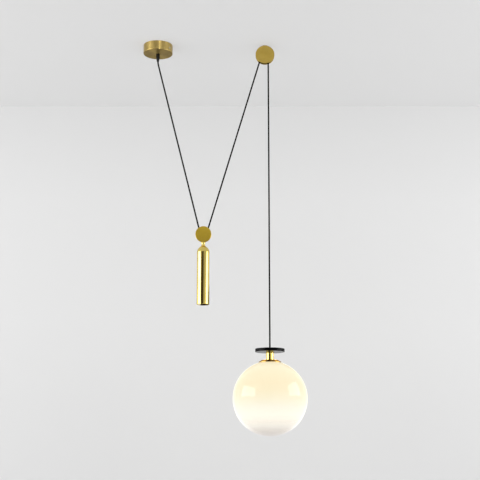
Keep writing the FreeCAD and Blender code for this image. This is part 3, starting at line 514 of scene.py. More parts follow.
@dataclass(frozen=True)
class LitGlass(Finish):
    """Opal glass that glows by height, thinning to clear glass towards its foot; on the globe the
    glow is painted light standing in for the lamp behind it.
    """

    colour: str
    glow: tuple[tuple[float, str], ...]
    foot_z_mm: float
    clear_below_mm: float
    top_z_mm: float
    foot_cover: float
    roughness: float = 0.06
    gloss: float = 0.3

    def surface(self, tree: bpy.types.NodeTree) -> bpy.types.NodeSocket:
        """Glow and cover by height on the piece's own coordinates.

        Args:
            tree: the material's tree.

        Returns:
            The output of its shader.
        """
        place = add_node(tree, "ShaderNodeTexCoord")
        height = add_node(tree, "ShaderNodeSeparateXYZ",
                          links={0: place.outputs["Object"]}).outputs["Z"]
        share = add_node(tree, "ShaderNodeMapRange", links={"Value": height},
                         values={"From Min": self.foot_z_mm * MM, "From Max": self.top_z_mm * MM})
        glow = add_node(tree, "ShaderNodeValToRGB", links={0: share.outputs[0]}, stops=self.glow)
        cover = add_node(tree, "ShaderNodeMapRange",
                         settings={"interpolation_type": "SMOOTHSTEP"}, links={"Value": height},
                         values={"From Min": self.foot_z_mm * MM,
                                 "From Max": self.clear_below_mm * MM,
                                 "To Min": self.foot_cover, "To Max": 1.0})
        return add_node(tree, "ShaderNodeBsdfPrincipled",
                        links={"Emission Color": glow.outputs[0], "Alpha": cover.outputs[0]},
                        values={"Base Color": linear(self.colour), "Emission Strength": 1.0,
                                "Roughness": self.roughness,
                                "Specular IOR Level": self.gloss}).outputs[0]


# Brass, spun and brushed round the canopy: lines 0.1 mm apart, drawn at 0.5 mm, and a
# highlight that they pull out along the wall.
SPUN_BRASS = Metal("spun_brushed_brass", "#C2AA69", "#B39B5B", 0.36, line_mm=0.5,
                   line_depth_mm=0.006, stretch=0.85)
# Brass, faced and bead-dulled on the cheeks: an even satin with no direction.
SATIN_BRASS = Metal("satin_faced_brass", "#BEA352", "#B29747", 0.33, line_mm=0.5,
                    line_depth_mm=0.003)
# The same satin on the counterweight's cheeks, whose brass is yellower, with its colour made
# brighter as painted light against the dark card that it mirrors.
BRIGHTENED_YELLOW_BRASS = Metal("satin_yellow_brass", "#E1C049", "#D6B63F", 0.33, line_mm=0.5,
                     line_depth_mm=0.003)
# Brass, turned and buffed to a mirror on the casing, the neck and the cap.
MIRROR_BRASS = Metal("buffed_brass", "#E3CC74", "#D9C068", 0.09, spread=0.02, line_mm=0.7,
                     line_depth_mm=0.001)
# Brass of the cap, polished less, with its colour darkened to brown: painted shade standing in for
# the black disc that it mirrors.
SHADED_CAP_BRASS = Metal("lacquered_brass", "#B98F45", "#9A7434", 0.24, spread=0.03, line_mm=0.7,
                        line_depth_mm=0.001)
# Steel with bright zinc plating: cool grey with a faint yellow cast.
ZINC_STEEL = Metal("zinc_plated_steel", "#BDBFBE", "#A9AAA6", 0.28, patch_mm=8.0)
# Sintered bronze of the wheels' bushes, dull and brown.
BRONZE = Metal("sintered_bronze", "#A5764A", "#8C6038", 0.45, patch_mm=4.0)
# Plain turned steel of the ballast.
RAW_STEEL = Metal("turned_steel", "#8E8C88", "#7A7773", 0.4, patch_mm=12.0)
# Nickel on the bulb's screw base.
NICKEL = Metal("nickel_plate", "#C9C6BE", "#B7B3AA", 0.22, patch_mm=6.0)
# Lead-free solder on the bulb's tip.
SOLDER = Metal("solder_tip", "#A8A9A8", "#8D8E8D", 0.38, patch_mm=3.0)
# Black nylon of the cord grip, with the fine skin of its mould.
BLACK_NYLON = Moulded("moulded_black_nylon", "#100F0E", "#080807", 0.4, gloss=0.25)
# Natural nylon of the grip's nut and the terminal block.
WHITE_NYLON = Moulded("moulded_white_nylon", "#E4E1D6", "#D8D4C6", 0.45)
# Smoother nylon of the thin washers.
WASHER_NYLON = Moulded("stamped_nylon", "#D9D6CC", "#CBC7BB", 0.5, grain_mm=0.4)
# Black acetal of the grooved wheels, slightly waxy.
ACETAL = Moulded("turned_black_acetal", "#1B1A18", "#121110", 0.3, grain_mm=0.5)
# Soft vinyl round the cord's cores.
CORE_VINYL = Moulded("core_vinyl", "#8A6A4C", "#765A40", 0.5, grain_mm=1.5)
# Gloss black paint baked on the aluminium disc, with the slight orange peel of a spray.
BLACK_GLOSS = Moulded("gloss_black_paint", "#0B0B0C", "#060607", 0.14, grain_mm=2.5,
                      grain_depth_mm=0.004, gloss=0.05)
# Clear rubber of the gasket and the clamp's pads, a milky grey.
RUBBER = Moulded("clear_rubber", "#C9C7BF", "#B9B6AC", 0.5, grain_mm=0.6)
# Black phenolic of the lampholder.
PHENOLIC = Moulded("pressed_phenolic", "#1A1816", "#121110", 0.3, grain_mm=0.7)
# White ceramic-filled insert inside the lampholder.
CERAMIC = Moulded("white_insert", "#E2DFD8", "#D5D1C8", 0.4)
# Dark textile sleeve: yarns 0.6 mm wide, drawn at 1.7 mm, with painted shade between the yarns.
BLACK_SLEEVE = Braid("black_textile_braid", "#0F0E0D", "#020202")
# Cased opal glass of the globe, lit from inside by the bulb, clear at its foot; the glow by height
# is painted light standing in for that light, with warmer painted shade where the lampholder
# stands and dimmer painted shade under the cap.
GLOBE_GLASS = LitGlass(
    "lit_opal_glass", "#7D776B",
    ((0.0, "#978176"), (0.12, "#DAD7D1"), (0.20, "#EBE5D9"), (0.27, "#F0EDDE"),
     (0.36, "#EAE7D7"), (0.47, "#E9E1C6"), (0.58, "#E8DCBA"), (0.68, "#E8DAB6"),
     (0.80, "#E8DDBA"), (0.95, "#EBE1C2"), (1.0, "#CDB377")),
    foot_z_mm=-1681.5, clear_below_mm=-1592.0, top_z_mm=-1376.5, foot_cover=0.10)
# The bulb's own opal coating, at full glow.
BULB_GLASS = LitGlass("lit_bulb_opal", "#8A857A", ((0.0, "#F2E3BC"), (1.0, "#F5E8C6")),
                      foot_z_mm=-1523.1, clear_below_mm=-1523.0, top_z_mm=-1439.0,
                      foot_cover=1.0)


def fit(
    piece: bpy.types.Object,
    body: str,
    finish: Finish,
    nodes: Sequence[str],
) -> None:
    """Dress a piece, let it ride on its body and hide the nodes that it stands for.

    Args:
        piece: the finished mesh object.
        body: the body that it moves with.
        finish: its finish.
        nodes: the nodes that it replaces.
    """
    piece.data.materials.clear()
    piece.data.materials.append(finish.material())
    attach(piece, body)
    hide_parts(*nodes)
    LOG.info("%s rides on %s", piece.name, body)


def dress_nodes(finishes: dict[Finish, Sequence[str]]) -> None:
    """Give the nodes that stay as they are their finishes.

    Args:
        finishes: node names by finish.
    """
    for finish, names in finishes.items():
        for name in names:
            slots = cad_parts[name].data.materials
            for index in range(len(slots)):
                slots[index] = finish.material()
            if not len(slots):
                slots.append(finish.material())
            LOG.info("%s has %s", name, finish.name)


# ---------------------------------------------------------------------------------------
# Screws
# ---------------------------------------------------------------------------------------

@dataclass(frozen=True)
class Screw:
    """A screw along +Z with the face of its head, or what it bears on, at height 0."""

    profile: tuple[Point, ...]
    socket_r: float
    socket_depth: float

    def base(self) -> bpy.types.Object:
        """One screw with a hexagon socket in its head, at the origin.

        Returns:
            The piece.
        """
        top = self.profile[-1][1]
        floor = top - self.socket_depth
        ends = [(self.socket_r, top), (self.socket_r, floor), (0.0, floor - self.socket_r * 0.3)]
        screw = turned("screw", [*self.profile, *ends], segments=48)
        for vertex in screw.data.vertices:
            radius = math.hypot(vertex.co.x, vertex.co.y)
            if 1e-6 < radius < self.socket_r * MM * 1.01 and vertex.co.z > (floor - 0.01) * MM:
                turn = math.atan2(vertex.co.y, vertex.co.x) % (math.pi / 3) - math.pi / 6
                share = math.cos(math.pi / 6) / math.cos(turn)
                vertex.co.x *= share
                vertex.co.y *= share
        return screw


@functools.cache
def screw_tree() -> bpy.types.NodeTree:
    """The tree that sets a screw at each point, along the point's aim.

    Returns:
        The tree.
    """
    tree, given = new_tree("screws_at_places", [("Screw", "NodeSocketObject"),
                                                ("Finish", "NodeSocketMaterial")])
    aim = add_node(tree, "GeometryNodeInputNamedAttribute",
                   settings={"data_type": "FLOAT_VECTOR"}, values={"Name": "aim"})
    turn = add_node(tree, "FunctionNodeAlignRotationToVector", settings={"axis": "Z"},
                    links={"Vector": aim.outputs[0]})
    screw = add_node(tree, "GeometryNodeObjectInfo", links={0: given.outputs["Screw"]})
    placed = add_node(tree, "GeometryNodeInstanceOnPoints",
                      links={"Points": given.outputs["Geometry"],
                             "Instance": screw.outputs["Geometry"],
                             "Rotation": turn.outputs[0]})
    end_tree(tree, placed.outputs[0], given.outputs["Finish"])
    return tree


def set_screws(
    name: str,
    screw: Screw,
    places: Sequence[tuple[Vector, Vector]],
    finish: Finish,
) -> bpy.types.Object:
    """Set one kind of screw at several places.

    Args:
        name: the piece's name.
        screw: the screw.
        places: where each one stands, in millimetres, and the way that its head faces.
        finish: its finish.

    Returns:
        The screws as one object.
    """
    mesh = bpy.data.meshes.new(name)
    mesh.from_pydata([place * MM for place, _ in places], [], [])
    aims = mesh.attributes.new("aim", "FLOAT_VECTOR", "POINT")
    for index, (_, aim) in enumerate(places):
        aims.data[index].vector = aim.normalized()
    points = bpy.data.objects.new(name, mesh)
    bpy.context.scene.collection.objects.link(points)
    base = screw.base()
    made = made_by(points, screw_tree(), {"Screw": base, "Finish": finish.material()})
    bpy.data.objects.remove(base)
    return shown(name, made)


# ---------------------------------------------------------------------------------------
# Cord
# ---------------------------------------------------------------------------------------

@functools.cache
def sleeve_tree() -> bpy.types.NodeTree:
    """The tree that lays a round sleeve along a line of points.

    Returns:
        The tree.
    """
    tree, given = new_tree("cord_sleeve", [("Diameter", "NodeSocketFloat"),
                                           ("Sides", "NodeSocketInt"),
                                           ("Finish", "NodeSocketMaterial")])
    radius = add_node(tree, "ShaderNodeMath", settings={"operation": "MULTIPLY"},
                      values={1: 0.5}, links={0: given.outputs["Diameter"]})
    section = add_node(tree, "GeometryNodeCurvePrimitiveCircle",
                       links={"Resolution": given.outputs["Sides"],
                              "Radius": radius.outputs[0]})
    line = add_node(tree, "GeometryNodeMeshToCurve", links={0: given.outputs["Geometry"]})
    sleeve = add_node(tree, "GeometryNodeCurveToMesh", values={"Fill Caps": True},
                      links={"Curve": line.outputs[0], "Profile Curve": section.outputs[0]})
    end_tree(tree, sleeve.outputs[0], given.outputs["Finish"])
    return tree


def spline_points(points: Sequence[Vector]) -> list[Vector]:
    """Read the smooth spline whose control points these are.

    Args:
        points: the control points, in metres.

    Returns:
        Points along the spline, in metres.
    """
    curve = bpy.data.curves.new("route", "CURVE")
    curve.dimensions = "3D"
    curve.resolution_u = 12
    spline = curve.splines.new("NURBS")
    spline.points.add(len(points) - 1)
    for knot, place in zip(spline.points, points):
        knot.co = (*place, 1.0)
    spline.order_u = 3
    spline.use_endpoint_u = True
    route = bpy.data.objects.new("route", curve)
    bpy.context.scene.collection.objects.link(route)
    mesh = bpy.data.meshes.new_from_object(route)
    read = [vertex.co.copy() for vertex in mesh.vertices]
    bpy.data.objects.remove(route)
    bpy.data.meshes.remove(mesh)
    return read


def length_of(points: Sequence[Vector]) -> float:
    """The length of a line of points."""
    return sum((b - a).length for a, b in zip(points, points[1:]))


@dataclass
class Cord:
    """The textile cord, from the canopy's terminal block to the lampholder."""

    diameter: float = 6.5
    sides: int = 24
    top_z: float = -27.5
    run_top_z: float = -67.5
    grip_tip_z: float = -73.5
    bend_z: float = -79.5
    weight: tuple[float, float] = (204.0, -844.0)
    weight_pitch_r: float = 12.0
    pulley: tuple[float, float] = (467.3, -43.0)
    pulley_pitch_r: float = 14.0
    lamp_top_z: float = -1326.7
    lamp_end_z: float = -1398.6
    lead_mm: float = 39.0

    def sleeve(self, name: str, points: Sequence[Vector]) -> tuple[bpy.types.Object,
                                                                   list[Vector]]:
        """Lay the sleeve along one stretch.

        Args:
            name: the piece's name.
            points: control points of the stretch, in millimetres.

        Returns:
            The sleeve and the points that it follows, in metres.
        """
        path = spline_points([point * MM for point in points])
        line = bpy.data.meshes.new(name)
        line.from_pydata(path, [(k, k + 1) for k in range(len(path) - 1)], [])
        source = bpy.data.objects.new(name, line)
        bpy.context.scene.collection.objects.link(source)
        mesh = made_by(source, sleeve_tree(), {"Diameter": self.diameter * MM,
                                               "Sides": self.sides,
                                               "Finish": BLACK_SLEEVE.material()})
        self.lay_uv(mesh)
        return shown(name, mesh, 60.0), path

    def lay_uv(self, mesh: bpy.types.Mesh) -> None:
        """Give a sleeve a UV map: share of the way round, and metres along.

        Args:
            mesh: the sleeve's mesh.
        """
        rings = len(mesh.vertices) // self.sides
        centres = [sum((mesh.vertices[ring * self.sides + k].co for k in range(self.sides)),
                       Vector()) / self.sides for ring in range(rings)]
        along = [0.0]
        for here, there in zip(centres, centres[1:]):
            along.append(along[-1] + (there - here).length)
        layer = mesh.uv_layers.new(name="UVMap")
        for face in mesh.polygons:
            across = [mesh.loops[k].vertex_index % self.sides for k in face.loop_indices]
            seam = len(across) == 4 and max(across) - min(across) > 1
            for k, side in zip(face.loop_indices, across):
                ring = mesh.loops[k].vertex_index // self.sides
                side = self.sides if seam and side == 0 else side
                layer.data[k].uv = (side / self.sides, along[ring])

    def round_wheel(self, centre: tuple[float, float], radius: float, start: float,
                    end: float, corners: int = 4) -> list[Vector]:
        """Control points that carry the cord round a wheel.

        Args:
            centre: X and Z of the wheel's centre.
            radius: its pitch radius.
            start: direction in degrees where the cord meets it.
            end: direction in degrees where the cord leaves it.
            corners: control points between the two ends.

        Returns:
            The control points, in millimetres.
        """
        step = math.radians(end - start) / corners
        reach = radius / math.cos(step / 2)
        spots = [(radius, math.radians(start))]
        spots += [(reach, math.radians(start) + (k + 0.5) * step) for k in range(corners)]
        spots += [(radius, math.radians(end))]
        return [Vector((centre[0] + r * math.cos(a), 0.0, centre[1] + r * math.sin(a)))
                for r, a in spots]

    def lead(self, start: Vector, end: Vector) -> list[Vector]:
        """A straight run with a control point a few diameters from each end.

        Args:
            start: where it starts.
            end: where it ends.

        Returns:
            The control points.
        """
        step = (end - start).normalized() * self.lead_mm
        return [start, start + step, end - step, end]

    def across_joint(self, piece: bpy.types.Object, body: str, start: Vector,
                     end: Vector) -> None:
        """Bake a taut run's placement into its sleeve's mesh; the run follows no body.

        Args:
            piece: the run's sleeve.
            body: the body at its end; not used.
            start: where the run leaves the ceiling's pieces, in millimetres; not used.
            end: where it meets the body, in millimetres; not used.
        """
        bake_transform(piece)

    def build(self) -> None:
        bend = Vector((0.0, 0.0, self.bend_z))
        weight = Vector((self.weight[0], 0.0, self.weight[1]))
        pulley = Vector((self.pulley[0], 0.0, self.pulley[1]))
        down, up = weight - bend, pulley - weight
        left_slope = math.atan2(down.x, -down.z) - math.asin(self.weight_pitch_r / down.length)
        right_slope = math.atan2(up.x, up.z) - math.asin(
            (self.weight_pitch_r + self.pulley_pitch_r) / up.length)
        left_end = weight - Vector((math.cos(left_slope), 0, math.sin(left_slope))) \
            * self.weight_pitch_r
        outward = Vector((math.cos(right_slope), 0, -math.sin(right_slope)))
        right_start = weight + outward * self.weight_pitch_r
        right_end = pulley - outward * self.pulley_pitch_r
        run_top = Vector((0.0, 0.0, self.run_top_z))
        lamp_x = self.pulley[0] + self.pulley_pitch_r
        drop_top = Vector((lamp_x, 0.0, self.pulley[1]))
        drop_end = Vector((lamp_x, 0.0, self.lamp_top_z))
        top, lamp_end = Vector((0.0, 0.0, self.top_z)), Vector((lamp_x, 0.0, self.lamp_end_z))

        weight_wrap, _ = self.sleeve("cord_round_weight_wheel", self.round_wheel(
            self.weight, self.weight_pitch_r, 180 + math.degrees(left_slope),
            360 - math.degrees(right_slope)))
        fit(weight_wrap, "counterweight", BLACK_SLEEVE,
            ["counterweight_cord_wrap"])

        stretches = [
            ("cord_in_canopy", [top, (top + run_top) / 2, run_top], "canopy_cord_tail", "ceiling",
             None, run_top, ()),
            ("cord_to_weight", [run_top, bend, *self.lead(bend, left_end)[1:]], "left_cord_run",
             "counterweight", (bend, left_end), Vector((0, 0, self.grip_tip_z)), (weight_wrap,)),
            ("cord_to_pulley", self.lead(right_start, right_end), "right_cord_run",
             "counterweight", (right_end, right_start), right_start, ()),
            ("cord_over_pulley", self.round_wheel(self.pulley, self.pulley_pitch_r,
                                                  180 - math.degrees(right_slope), 0.0),
             "ceiling_cord_wrap", "ceiling", None, right_end, ()),
            ("cord_to_lamp", self.lead(drop_top, drop_end), "drop_cord", "lamp",
             (drop_top, drop_end), drop_top, ()),
            ("cord_in_lamp", [drop_end, (drop_end + lamp_end) / 2, lamp_end], "lamp_cord_tail",
             "lamp", None, drop_end, ()),
        ]
        for name, points, node, body, taut, leaves, others in stretches:
            piece, path = self.sleeve(name, points)
            if taut:
                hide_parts(node)
                self.across_joint(piece, body, *taut)
            else:
                fit(piece, body, BLACK_SLEEVE, [node])
            LOG.info("%s is %.1f mm long", name, length_of(path) / MM)


# ---------------------------------------------------------------------------------------
# Canopy
# ---------------------------------------------------------------------------------------

@dataclass
class Canopy:
    """The spun cup on the ceiling, its two side screws and the cord grip under it."""

    radius: float = 63.5
    height: float = 38.0
    wall: float = 1.5
    edge_r: float = 2.0
    hole_r: float = 5.1
    screw_angle: float = -33.5
    screw_z: float = -22.5
    grip_r: float = 8.0
    grip_split_z: float = -54.5
    grip_tip_z: float = -73.5
    grip_tip_r: float = 4.6
    grip_bore_r: float = 3.5
    grip_socket_z: float = -50.0
    grip_edge: float = 0.4
    screw_r: float = 1.5
    screw_reach: float = 6.5
    screw_head_r: float = 2.9
    screw_head_h: float = 0.8
    screw_crown_r: float = 5.656
    screw_socket_r: float = 0.9

    def cup(self) -> bpy.types.Object:
        """The cup, open at the ceiling, with a soft lower edge.

        Returns:
            The piece.
        """
        inner, floor = self.radius - self.wall, -self.height + self.wall
        inner_edge = self.edge_r - self.wall / 2
        profile = [(self.hole_r, -self.height),
                   *arc((self.radius - self.edge_r, -self.height + self.edge_r), self.edge_r,
                        -90, 0, 10),
                   (self.radius, -0.2), (self.radius - 0.2, 0.0), (inner, 0.0),
                   *arc((inner - inner_edge, floor + inner_edge), inner_edge, 0, -90, 6),
                   (self.hole_r, floor)]
        return turned("canopy_shell", profile, segments=192)

    def side_screws(self) -> bpy.types.Object:
        """Two low domed screws through the wall.

        Returns:
            The piece.
        """
        crown_r, head_r = self.screw_crown_r, self.screw_head_r
        dome = arc((0.0, 2 * self.screw_head_h - crown_r), crown_r,
                   90 - math.degrees(math.asin(head_r / crown_r)), 78, 5)
        screw = Screw(((0.0, -self.screw_reach), (self.screw_r, -self.screw_reach),
                       (self.screw_r, 0.0), (head_r, 0.0), (head_r, self.screw_head_h),
                       *dome[1:]), self.screw_socket_r, self.screw_head_h)
        places = []
        for turn in (0.0, 180.0):
            angle = math.radians(self.screw_angle + turn)
            aim = Vector((math.cos(angle), math.sin(angle), 0.0))
            places.append((aim * self.radius + Vector((0, 0, self.screw_z)), aim))
        return set_screws("canopy_screws", screw, places, ZINC_STEEL)

    def grip(self) -> bpy.types.Object:
        """The barrel and its tapered nose, with a fine groove where they screw together.

        Returns:
            The piece.
        """
        split, edge = self.grip_split_z, self.grip_edge
        profile = [(self.hole_r, -self.height), (self.grip_r - edge, -self.height),
                   (self.grip_r, -self.height - edge), (self.grip_r, split + 0.6),
                   (self.grip_r - 0.5, split + 0.2), (self.grip_r - 0.5, split - 0.2),
                   (self.grip_r - 0.1, split - 0.6),
                   (self.grip_tip_r + 0.2, self.grip_tip_z + 0.8),
                   (self.grip_tip_r - edge, self.grip_tip_z), (self.grip_bore_r, self.grip_tip_z),
                   (self.grip_bore_r, self.grip_socket_z), (self.hole_r, self.grip_socket_z)]
        return turned("grip_barrel_and_nose", profile, segments=96)

    def build(self) -> None:
        """Make the canopy's pieces and dress what stays as it is."""
        fit(self.cup(), "ceiling", SPUN_BRASS, ["canopy_cup"])
        fit(self.side_screws(), "ceiling", ZINC_STEEL, ["canopy_side_screws"])
        fit(self.grip(), "ceiling", BLACK_NYLON, ["cord_grip"])
        dress_nodes({ZINC_STEEL: ["mounting_plate", "earth_screw", "cord_grip_stem"],
                     WHITE_NYLON: ["terminal_block", "cord_grip_nut"],
                     CORE_VINYL: ["canopy_cores"]})


# ---------------------------------------------------------------------------------------
# Pulleys
# ---------------------------------------------------------------------------------------

@dataclass
class Pulley:
    """Two brass cheeks, held together from the rear, with a grooved wheel between them."""

    name: str
    body: str
    centre: tuple[float, float]
    cheek_r: float
    inner: float
    outer: float
    axle_r: float
    screw_x: float
    screw_z: float
    screws_node: str
    finish: Metal
    tip_share: float = 0.7
    edge_r: float = 0.8
    thread_r: float = 2.4
    axle_growth: float = 2.6
    axle_socket_r: float = 2.9
    screw_r: float = 1.25
    screw_growth: float = 1.3
    screw_socket_r: float = 1.0

    def cheek(self) -> bpy.types.Object:
        """The front cheek, a plain disc with a soft rim.

        Returns:
            The piece.
        """
        near, far, edge = -self.outer, -self.inner, self.edge_r
        profile = [(0.0, near), *arc((self.cheek_r - edge, near + edge), edge, -90, 0, 6),
                   *arc((self.cheek_r - 0.5, far - 0.5), 0.5, 0, 90, 4), (0.0, far)]
        return turned(self.name + "_front_disc", profile,
                      (self.centre[0], 0.0, self.centre[1]), Lie.ACROSS, 192)

    def fasteners(self, name: str, shank_r: float, thread_r: float, growth: float,
                  socket_r: float, places: Sequence[Point]) -> bpy.types.Object:
        """Countersunk screws that enter from the rear cheek.

        Args:
            name: the piece's name.
            shank_r: radius of the shank.
            thread_r: radius of the thread in the front cheek.
            growth: how much the head is larger than the shank.
            socket_r: radius of its hexagon socket.
            places: X and Z of each one.

        Returns:
            The screws as one object.
        """
        end = -self.inner - (self.outer - self.inner) * self.tip_share
        screw = Screw(((0.0, end - self.outer), (thread_r, end - self.outer),
                       (thread_r, -self.inner - self.outer), (shank_r, -self.inner - self.outer),
                       (shank_r, -growth), (shank_r + growth, 0.0)), socket_r, socket_r)
        spots = [(Vector((x, self.outer, z)), Vector((0, 1, 0))) for x, z in places]
        return set_screws(name, screw, spots, ZINC_STEEL)

    def build(self) -> None:
        """Make the front cheek and the screws, and dress what stays as it is."""
        fit(self.cheek(), self.body, self.finish, [self.name + "_cheek_front"])
        axle = self.fasteners(self.name + "_shoulder_screw", self.axle_r, self.thread_r,
                              self.axle_growth, self.axle_socket_r, [self.centre])
        fit(axle, self.body, ZINC_STEEL, [self.name + "_axle"])
        pair = self.fasteners(self.name + "_cheek_screws", self.screw_r, self.screw_r,
                              self.screw_growth, self.screw_socket_r,
                              [(self.centre[0] + way * self.screw_x, self.screw_z)
                               for way in (-1, 1)])
        fit(pair, self.body, ZINC_STEEL, [self.screws_node])
        dress_nodes({self.finish: [self.name + "_cheek_rear"],
                     WASHER_NYLON: [self.name + "_washers"],
                     ACETAL: [self.name + "_wheel"],
                     BRONZE: [self.name + "_wheel_bush"]})


# ---------------------------------------------------------------------------------------
# Counterweight
# ---------------------------------------------------------------------------------------

@dataclass
class Counterweight:
    """The buffed casing under the counterweight's pulley."""

    x: float = 204.0
    neck_top_z: float = -878.0
    neck_top_r: float = 10.0
    waist_r: float = 7.25
    waist_drop: float = 9.5
    lower_r: float = 12.0
    shoulder_r: float = 28.0
    casing_r: float = 26.25
    wall: float = 2.0
    crown: float = 4.0
    bottom_z: float = -1143.0
    bore_r: float = 4.1
    foot_edge: float = 1.0

    def casing(self) -> bpy.types.Object:
        """Waisted neck, ogee shoulder and long barrel, turned in one piece.

        Returns:
            The piece.
        """
        waist_z = self.neck_top_z - self.waist_drop
        half = math.atan2(self.neck_top_r - self.waist_r, self.waist_drop)
        upper_r = self.waist_drop / math.sin(2 * half)
        turn = math.acos(1 - (self.casing_r - self.waist_r) / (self.lower_r + self.shoulder_r))
        shoulder_z = waist_z - (self.lower_r + self.shoulder_r) * math.sin(turn)
        degrees = math.degrees(turn)
        inner_r, top_z = self.casing_r - self.wall, shoulder_z - self.crown
        profile = [(self.bore_r, self.neck_top_z), (self.neck_top_r - 0.3, self.neck_top_z),
                   *arc((self.waist_r + upper_r, waist_z), upper_r,
                        180 - math.degrees(2 * half) + 1.0, 180, 16),
                   *arc((self.waist_r + self.lower_r, waist_z), self.lower_r, 180,
                        180 + degrees, 20)[1:],
                   *arc((self.casing_r - self.shoulder_r, shoulder_z), self.shoulder_r,
                        degrees, 0, 28)[1:],
                   (self.casing_r, self.bottom_z + self.foot_edge),
                   (self.casing_r - self.foot_edge, self.bottom_z), (inner_r, self.bottom_z),
                   (inner_r, top_z), (self.bore_r, top_z)]
        return turned("casing_with_neck", profile, (self.x, 0.0, 0.0), segments=192)

    def build(self) -> None:
        """Make the casing and dress what stays as it is."""
        fit(self.casing(), "counterweight", MIRROR_BRASS,
            ["counterweight_casing"])
        dress_nodes({MIRROR_BRASS: ["counterweight_bottom_plug", "counterweight_stem"],
                     RAW_STEEL: ["counterweight_ballast"]})


# ---------------------------------------------------------------------------------------
# Lamp
# ---------------------------------------------------------------------------------------

@dataclass
class Lamp:
    """Black disc, brass neck and cap, glass globe and the lit bulb inside it."""

    x: float = 481.3
    top_z: float = -1326.7
    disc_r: float = 61.0
    disc_t: float = 13.0
    disc_edge: float = 1.6
    pocket_r: float = 10.5
    pocket_depth: float = 7.0
    hole_r: float = 5.1
    neck_r: float = 15.75
    neck_wall: float = 1.6
    neck_web: float = 2.5
    seat_z: float = -1371.2
    seat_r: float = 18.0
    cap_r: float = 46.0
    cap_t: float = 2.5
    cap_fall: float = 8.2
    cap_bulge: float = 1.2
    cap_land_r: float = 36.3
    globe_z: float = -1529.0
    globe_r: float = 152.5
    glass_t: float = 2.0
    globe_hole_r: float = 33.0
    bulb_r: float = 30.0
    bulb_z: float = -1493.1
    bulb_neck_r: float = 13.1
    bulb_top_z: float = -1439.1

    def on_globe(self, radius: float, r: float) -> Point:
        """The upper point of a sphere about the globe's centre, at r from the axis."""
        return r, self.globe_z + math.sqrt(radius ** 2 - r ** 2)

    def disc(self) -> bpy.types.Object:
        """The black disc with a pocket round the cord.

        Returns:
            The piece.
        """
        low, edge = self.top_z - self.disc_t, self.disc_edge
        floor = self.top_z - self.pocket_depth
        profile = [(self.hole_r, low),
                   *arc((self.disc_r - edge, low + edge), edge, -90, 0, 8),
                   *arc((self.disc_r - edge, self.top_z - edge), edge, 0, 90, 8),
                   (self.pocket_r + 0.3, self.top_z), (self.pocket_r, self.top_z - 0.3),
                   (self.pocket_r, floor), (self.hole_r, floor)]
        return turned("black_disc", profile, (self.x, 0.0, 0.0), segments=192)

    def neck(self) -> bpy.types.Object:
        """The brass tube under the disc, with its web.

        Returns:
            The piece.
        """
        top, bore = self.top_z - self.disc_t, self.neck_r - self.neck_wall
        profile = [(self.hole_r, top), (self.hole_r, top - self.neck_web),
                   (bore, top - self.neck_web), (bore, self.seat_z),
                   (self.neck_r - 0.3, self.seat_z), (self.neck_r, self.seat_z + 0.3),
                   (self.neck_r, top)]
        return turned("neck_tube", profile, (self.x, 0.0, 0.0))

    def cap(self) -> bpy.types.Object:
        """The low brass dome that closes the globe.

        Returns:
            The piece.
        """
        boss_r = self.neck_r - self.neck_wall - 0.2
        rim_z = self.seat_z - self.cap_fall
        middle = ((self.seat_r + self.cap_r) / 2, (self.seat_z + rim_z) / 2 + self.cap_bulge)
        under = self.globe_r + 1.0
        profile = [(self.hole_r, self.seat_z + 2.5), (boss_r, self.seat_z + 2.5),
                   (boss_r, self.seat_z),
                   *bowed((self.seat_r, self.seat_z), middle, (self.cap_r, rim_z)),
                   self.on_globe(under, self.cap_r),
                   self.on_globe(under, (self.cap_r + self.cap_land_r) / 2),
                   self.on_globe(under, self.cap_land_r),
                   (self.cap_land_r, self.seat_z - self.cap_t),
                   (self.hole_r, self.seat_z - self.cap_t)]
        return turned("cap_dome", profile, (self.x, 0.0, 0.0), segments=160)

    def globe(self) -> bpy.types.Object:
        """The blown shell, open at its top.

        Returns:
            The piece.
        """
        inner_r = self.globe_r - self.glass_t
        mouth = math.degrees(math.acos(self.globe_hole_r / self.globe_r))
        inner_mouth = math.degrees(math.acos(self.globe_hole_r / inner_r))
        outer = arc((0.0, self.globe_z), self.globe_r, mouth, -90, 84)
        inner = arc((0.0, self.globe_z), inner_r, -90, inner_mouth, 84)
        profile = [*outer[:-1], (0.0, outer[-1][1]), (0.0, inner[0][1]), *inner[1:]]
        return turned("globe_glass", profile, (self.x, 0.0, 0.0), segments=192)

    def bulb(self) -> bpy.types.Object:
        """The pear-shaped envelope of the bulb.

        Returns:
            The piece.
        """
        rise = self.bulb_top_z - self.bulb_z
        slope = math.degrees(math.atan2(rise, self.bulb_neck_r)
                             - math.acos(self.bulb_r / math.hypot(rise, self.bulb_neck_r)))
        ball = arc((0.0, self.bulb_z), self.bulb_r, -90, slope, 28)
        profile = [(0.0, ball[0][1]), *ball[1:], (self.bulb_neck_r, self.bulb_top_z),
                   (0.0, self.bulb_top_z)]
        return turned("bulb_glass", profile, (self.x, 0.0, 0.0), segments=96)

    def build(self) -> None:
        """Make the lamp's pieces and dress what stays as it is."""
        fit(self.disc(), "lamp", BLACK_GLOSS, ["lamp_disc"])
        fit(self.neck(), "lamp", MIRROR_BRASS, ["lamp_neck"])
        fit(self.cap(), "lamp", SHADED_CAP_BRASS, ["globe_cap"])
        fit(self.globe(), "lamp", GLOBE_GLASS, ["glass_globe"])
        fit(self.bulb(), "lamp", BULB_GLASS, ["bulb_envelope"])
        dress_nodes({ZINC_STEEL: ["lamp_nipple", "lamp_top_nut", "globe_clamp_bar",
                                  "globe_clamp_nut", "lampholder_screw_shell",
                                  "lampholder_contact"],
                     BLACK_NYLON: ["lamp_cord_bush"],
                     RUBBER: ["globe_gasket", "globe_clamp_pads"],
                     PHENOLIC: ["lampholder_dome", "lampholder_body"],
                     CERAMIC: ["lampholder_insert"],
                     SOLDER: ["bulb_tip"], NICKEL: ["bulb_base"]})


# ---------------------------------------------------------------------------------------
# Studio
# ---------------------------------------------------------------------------------------

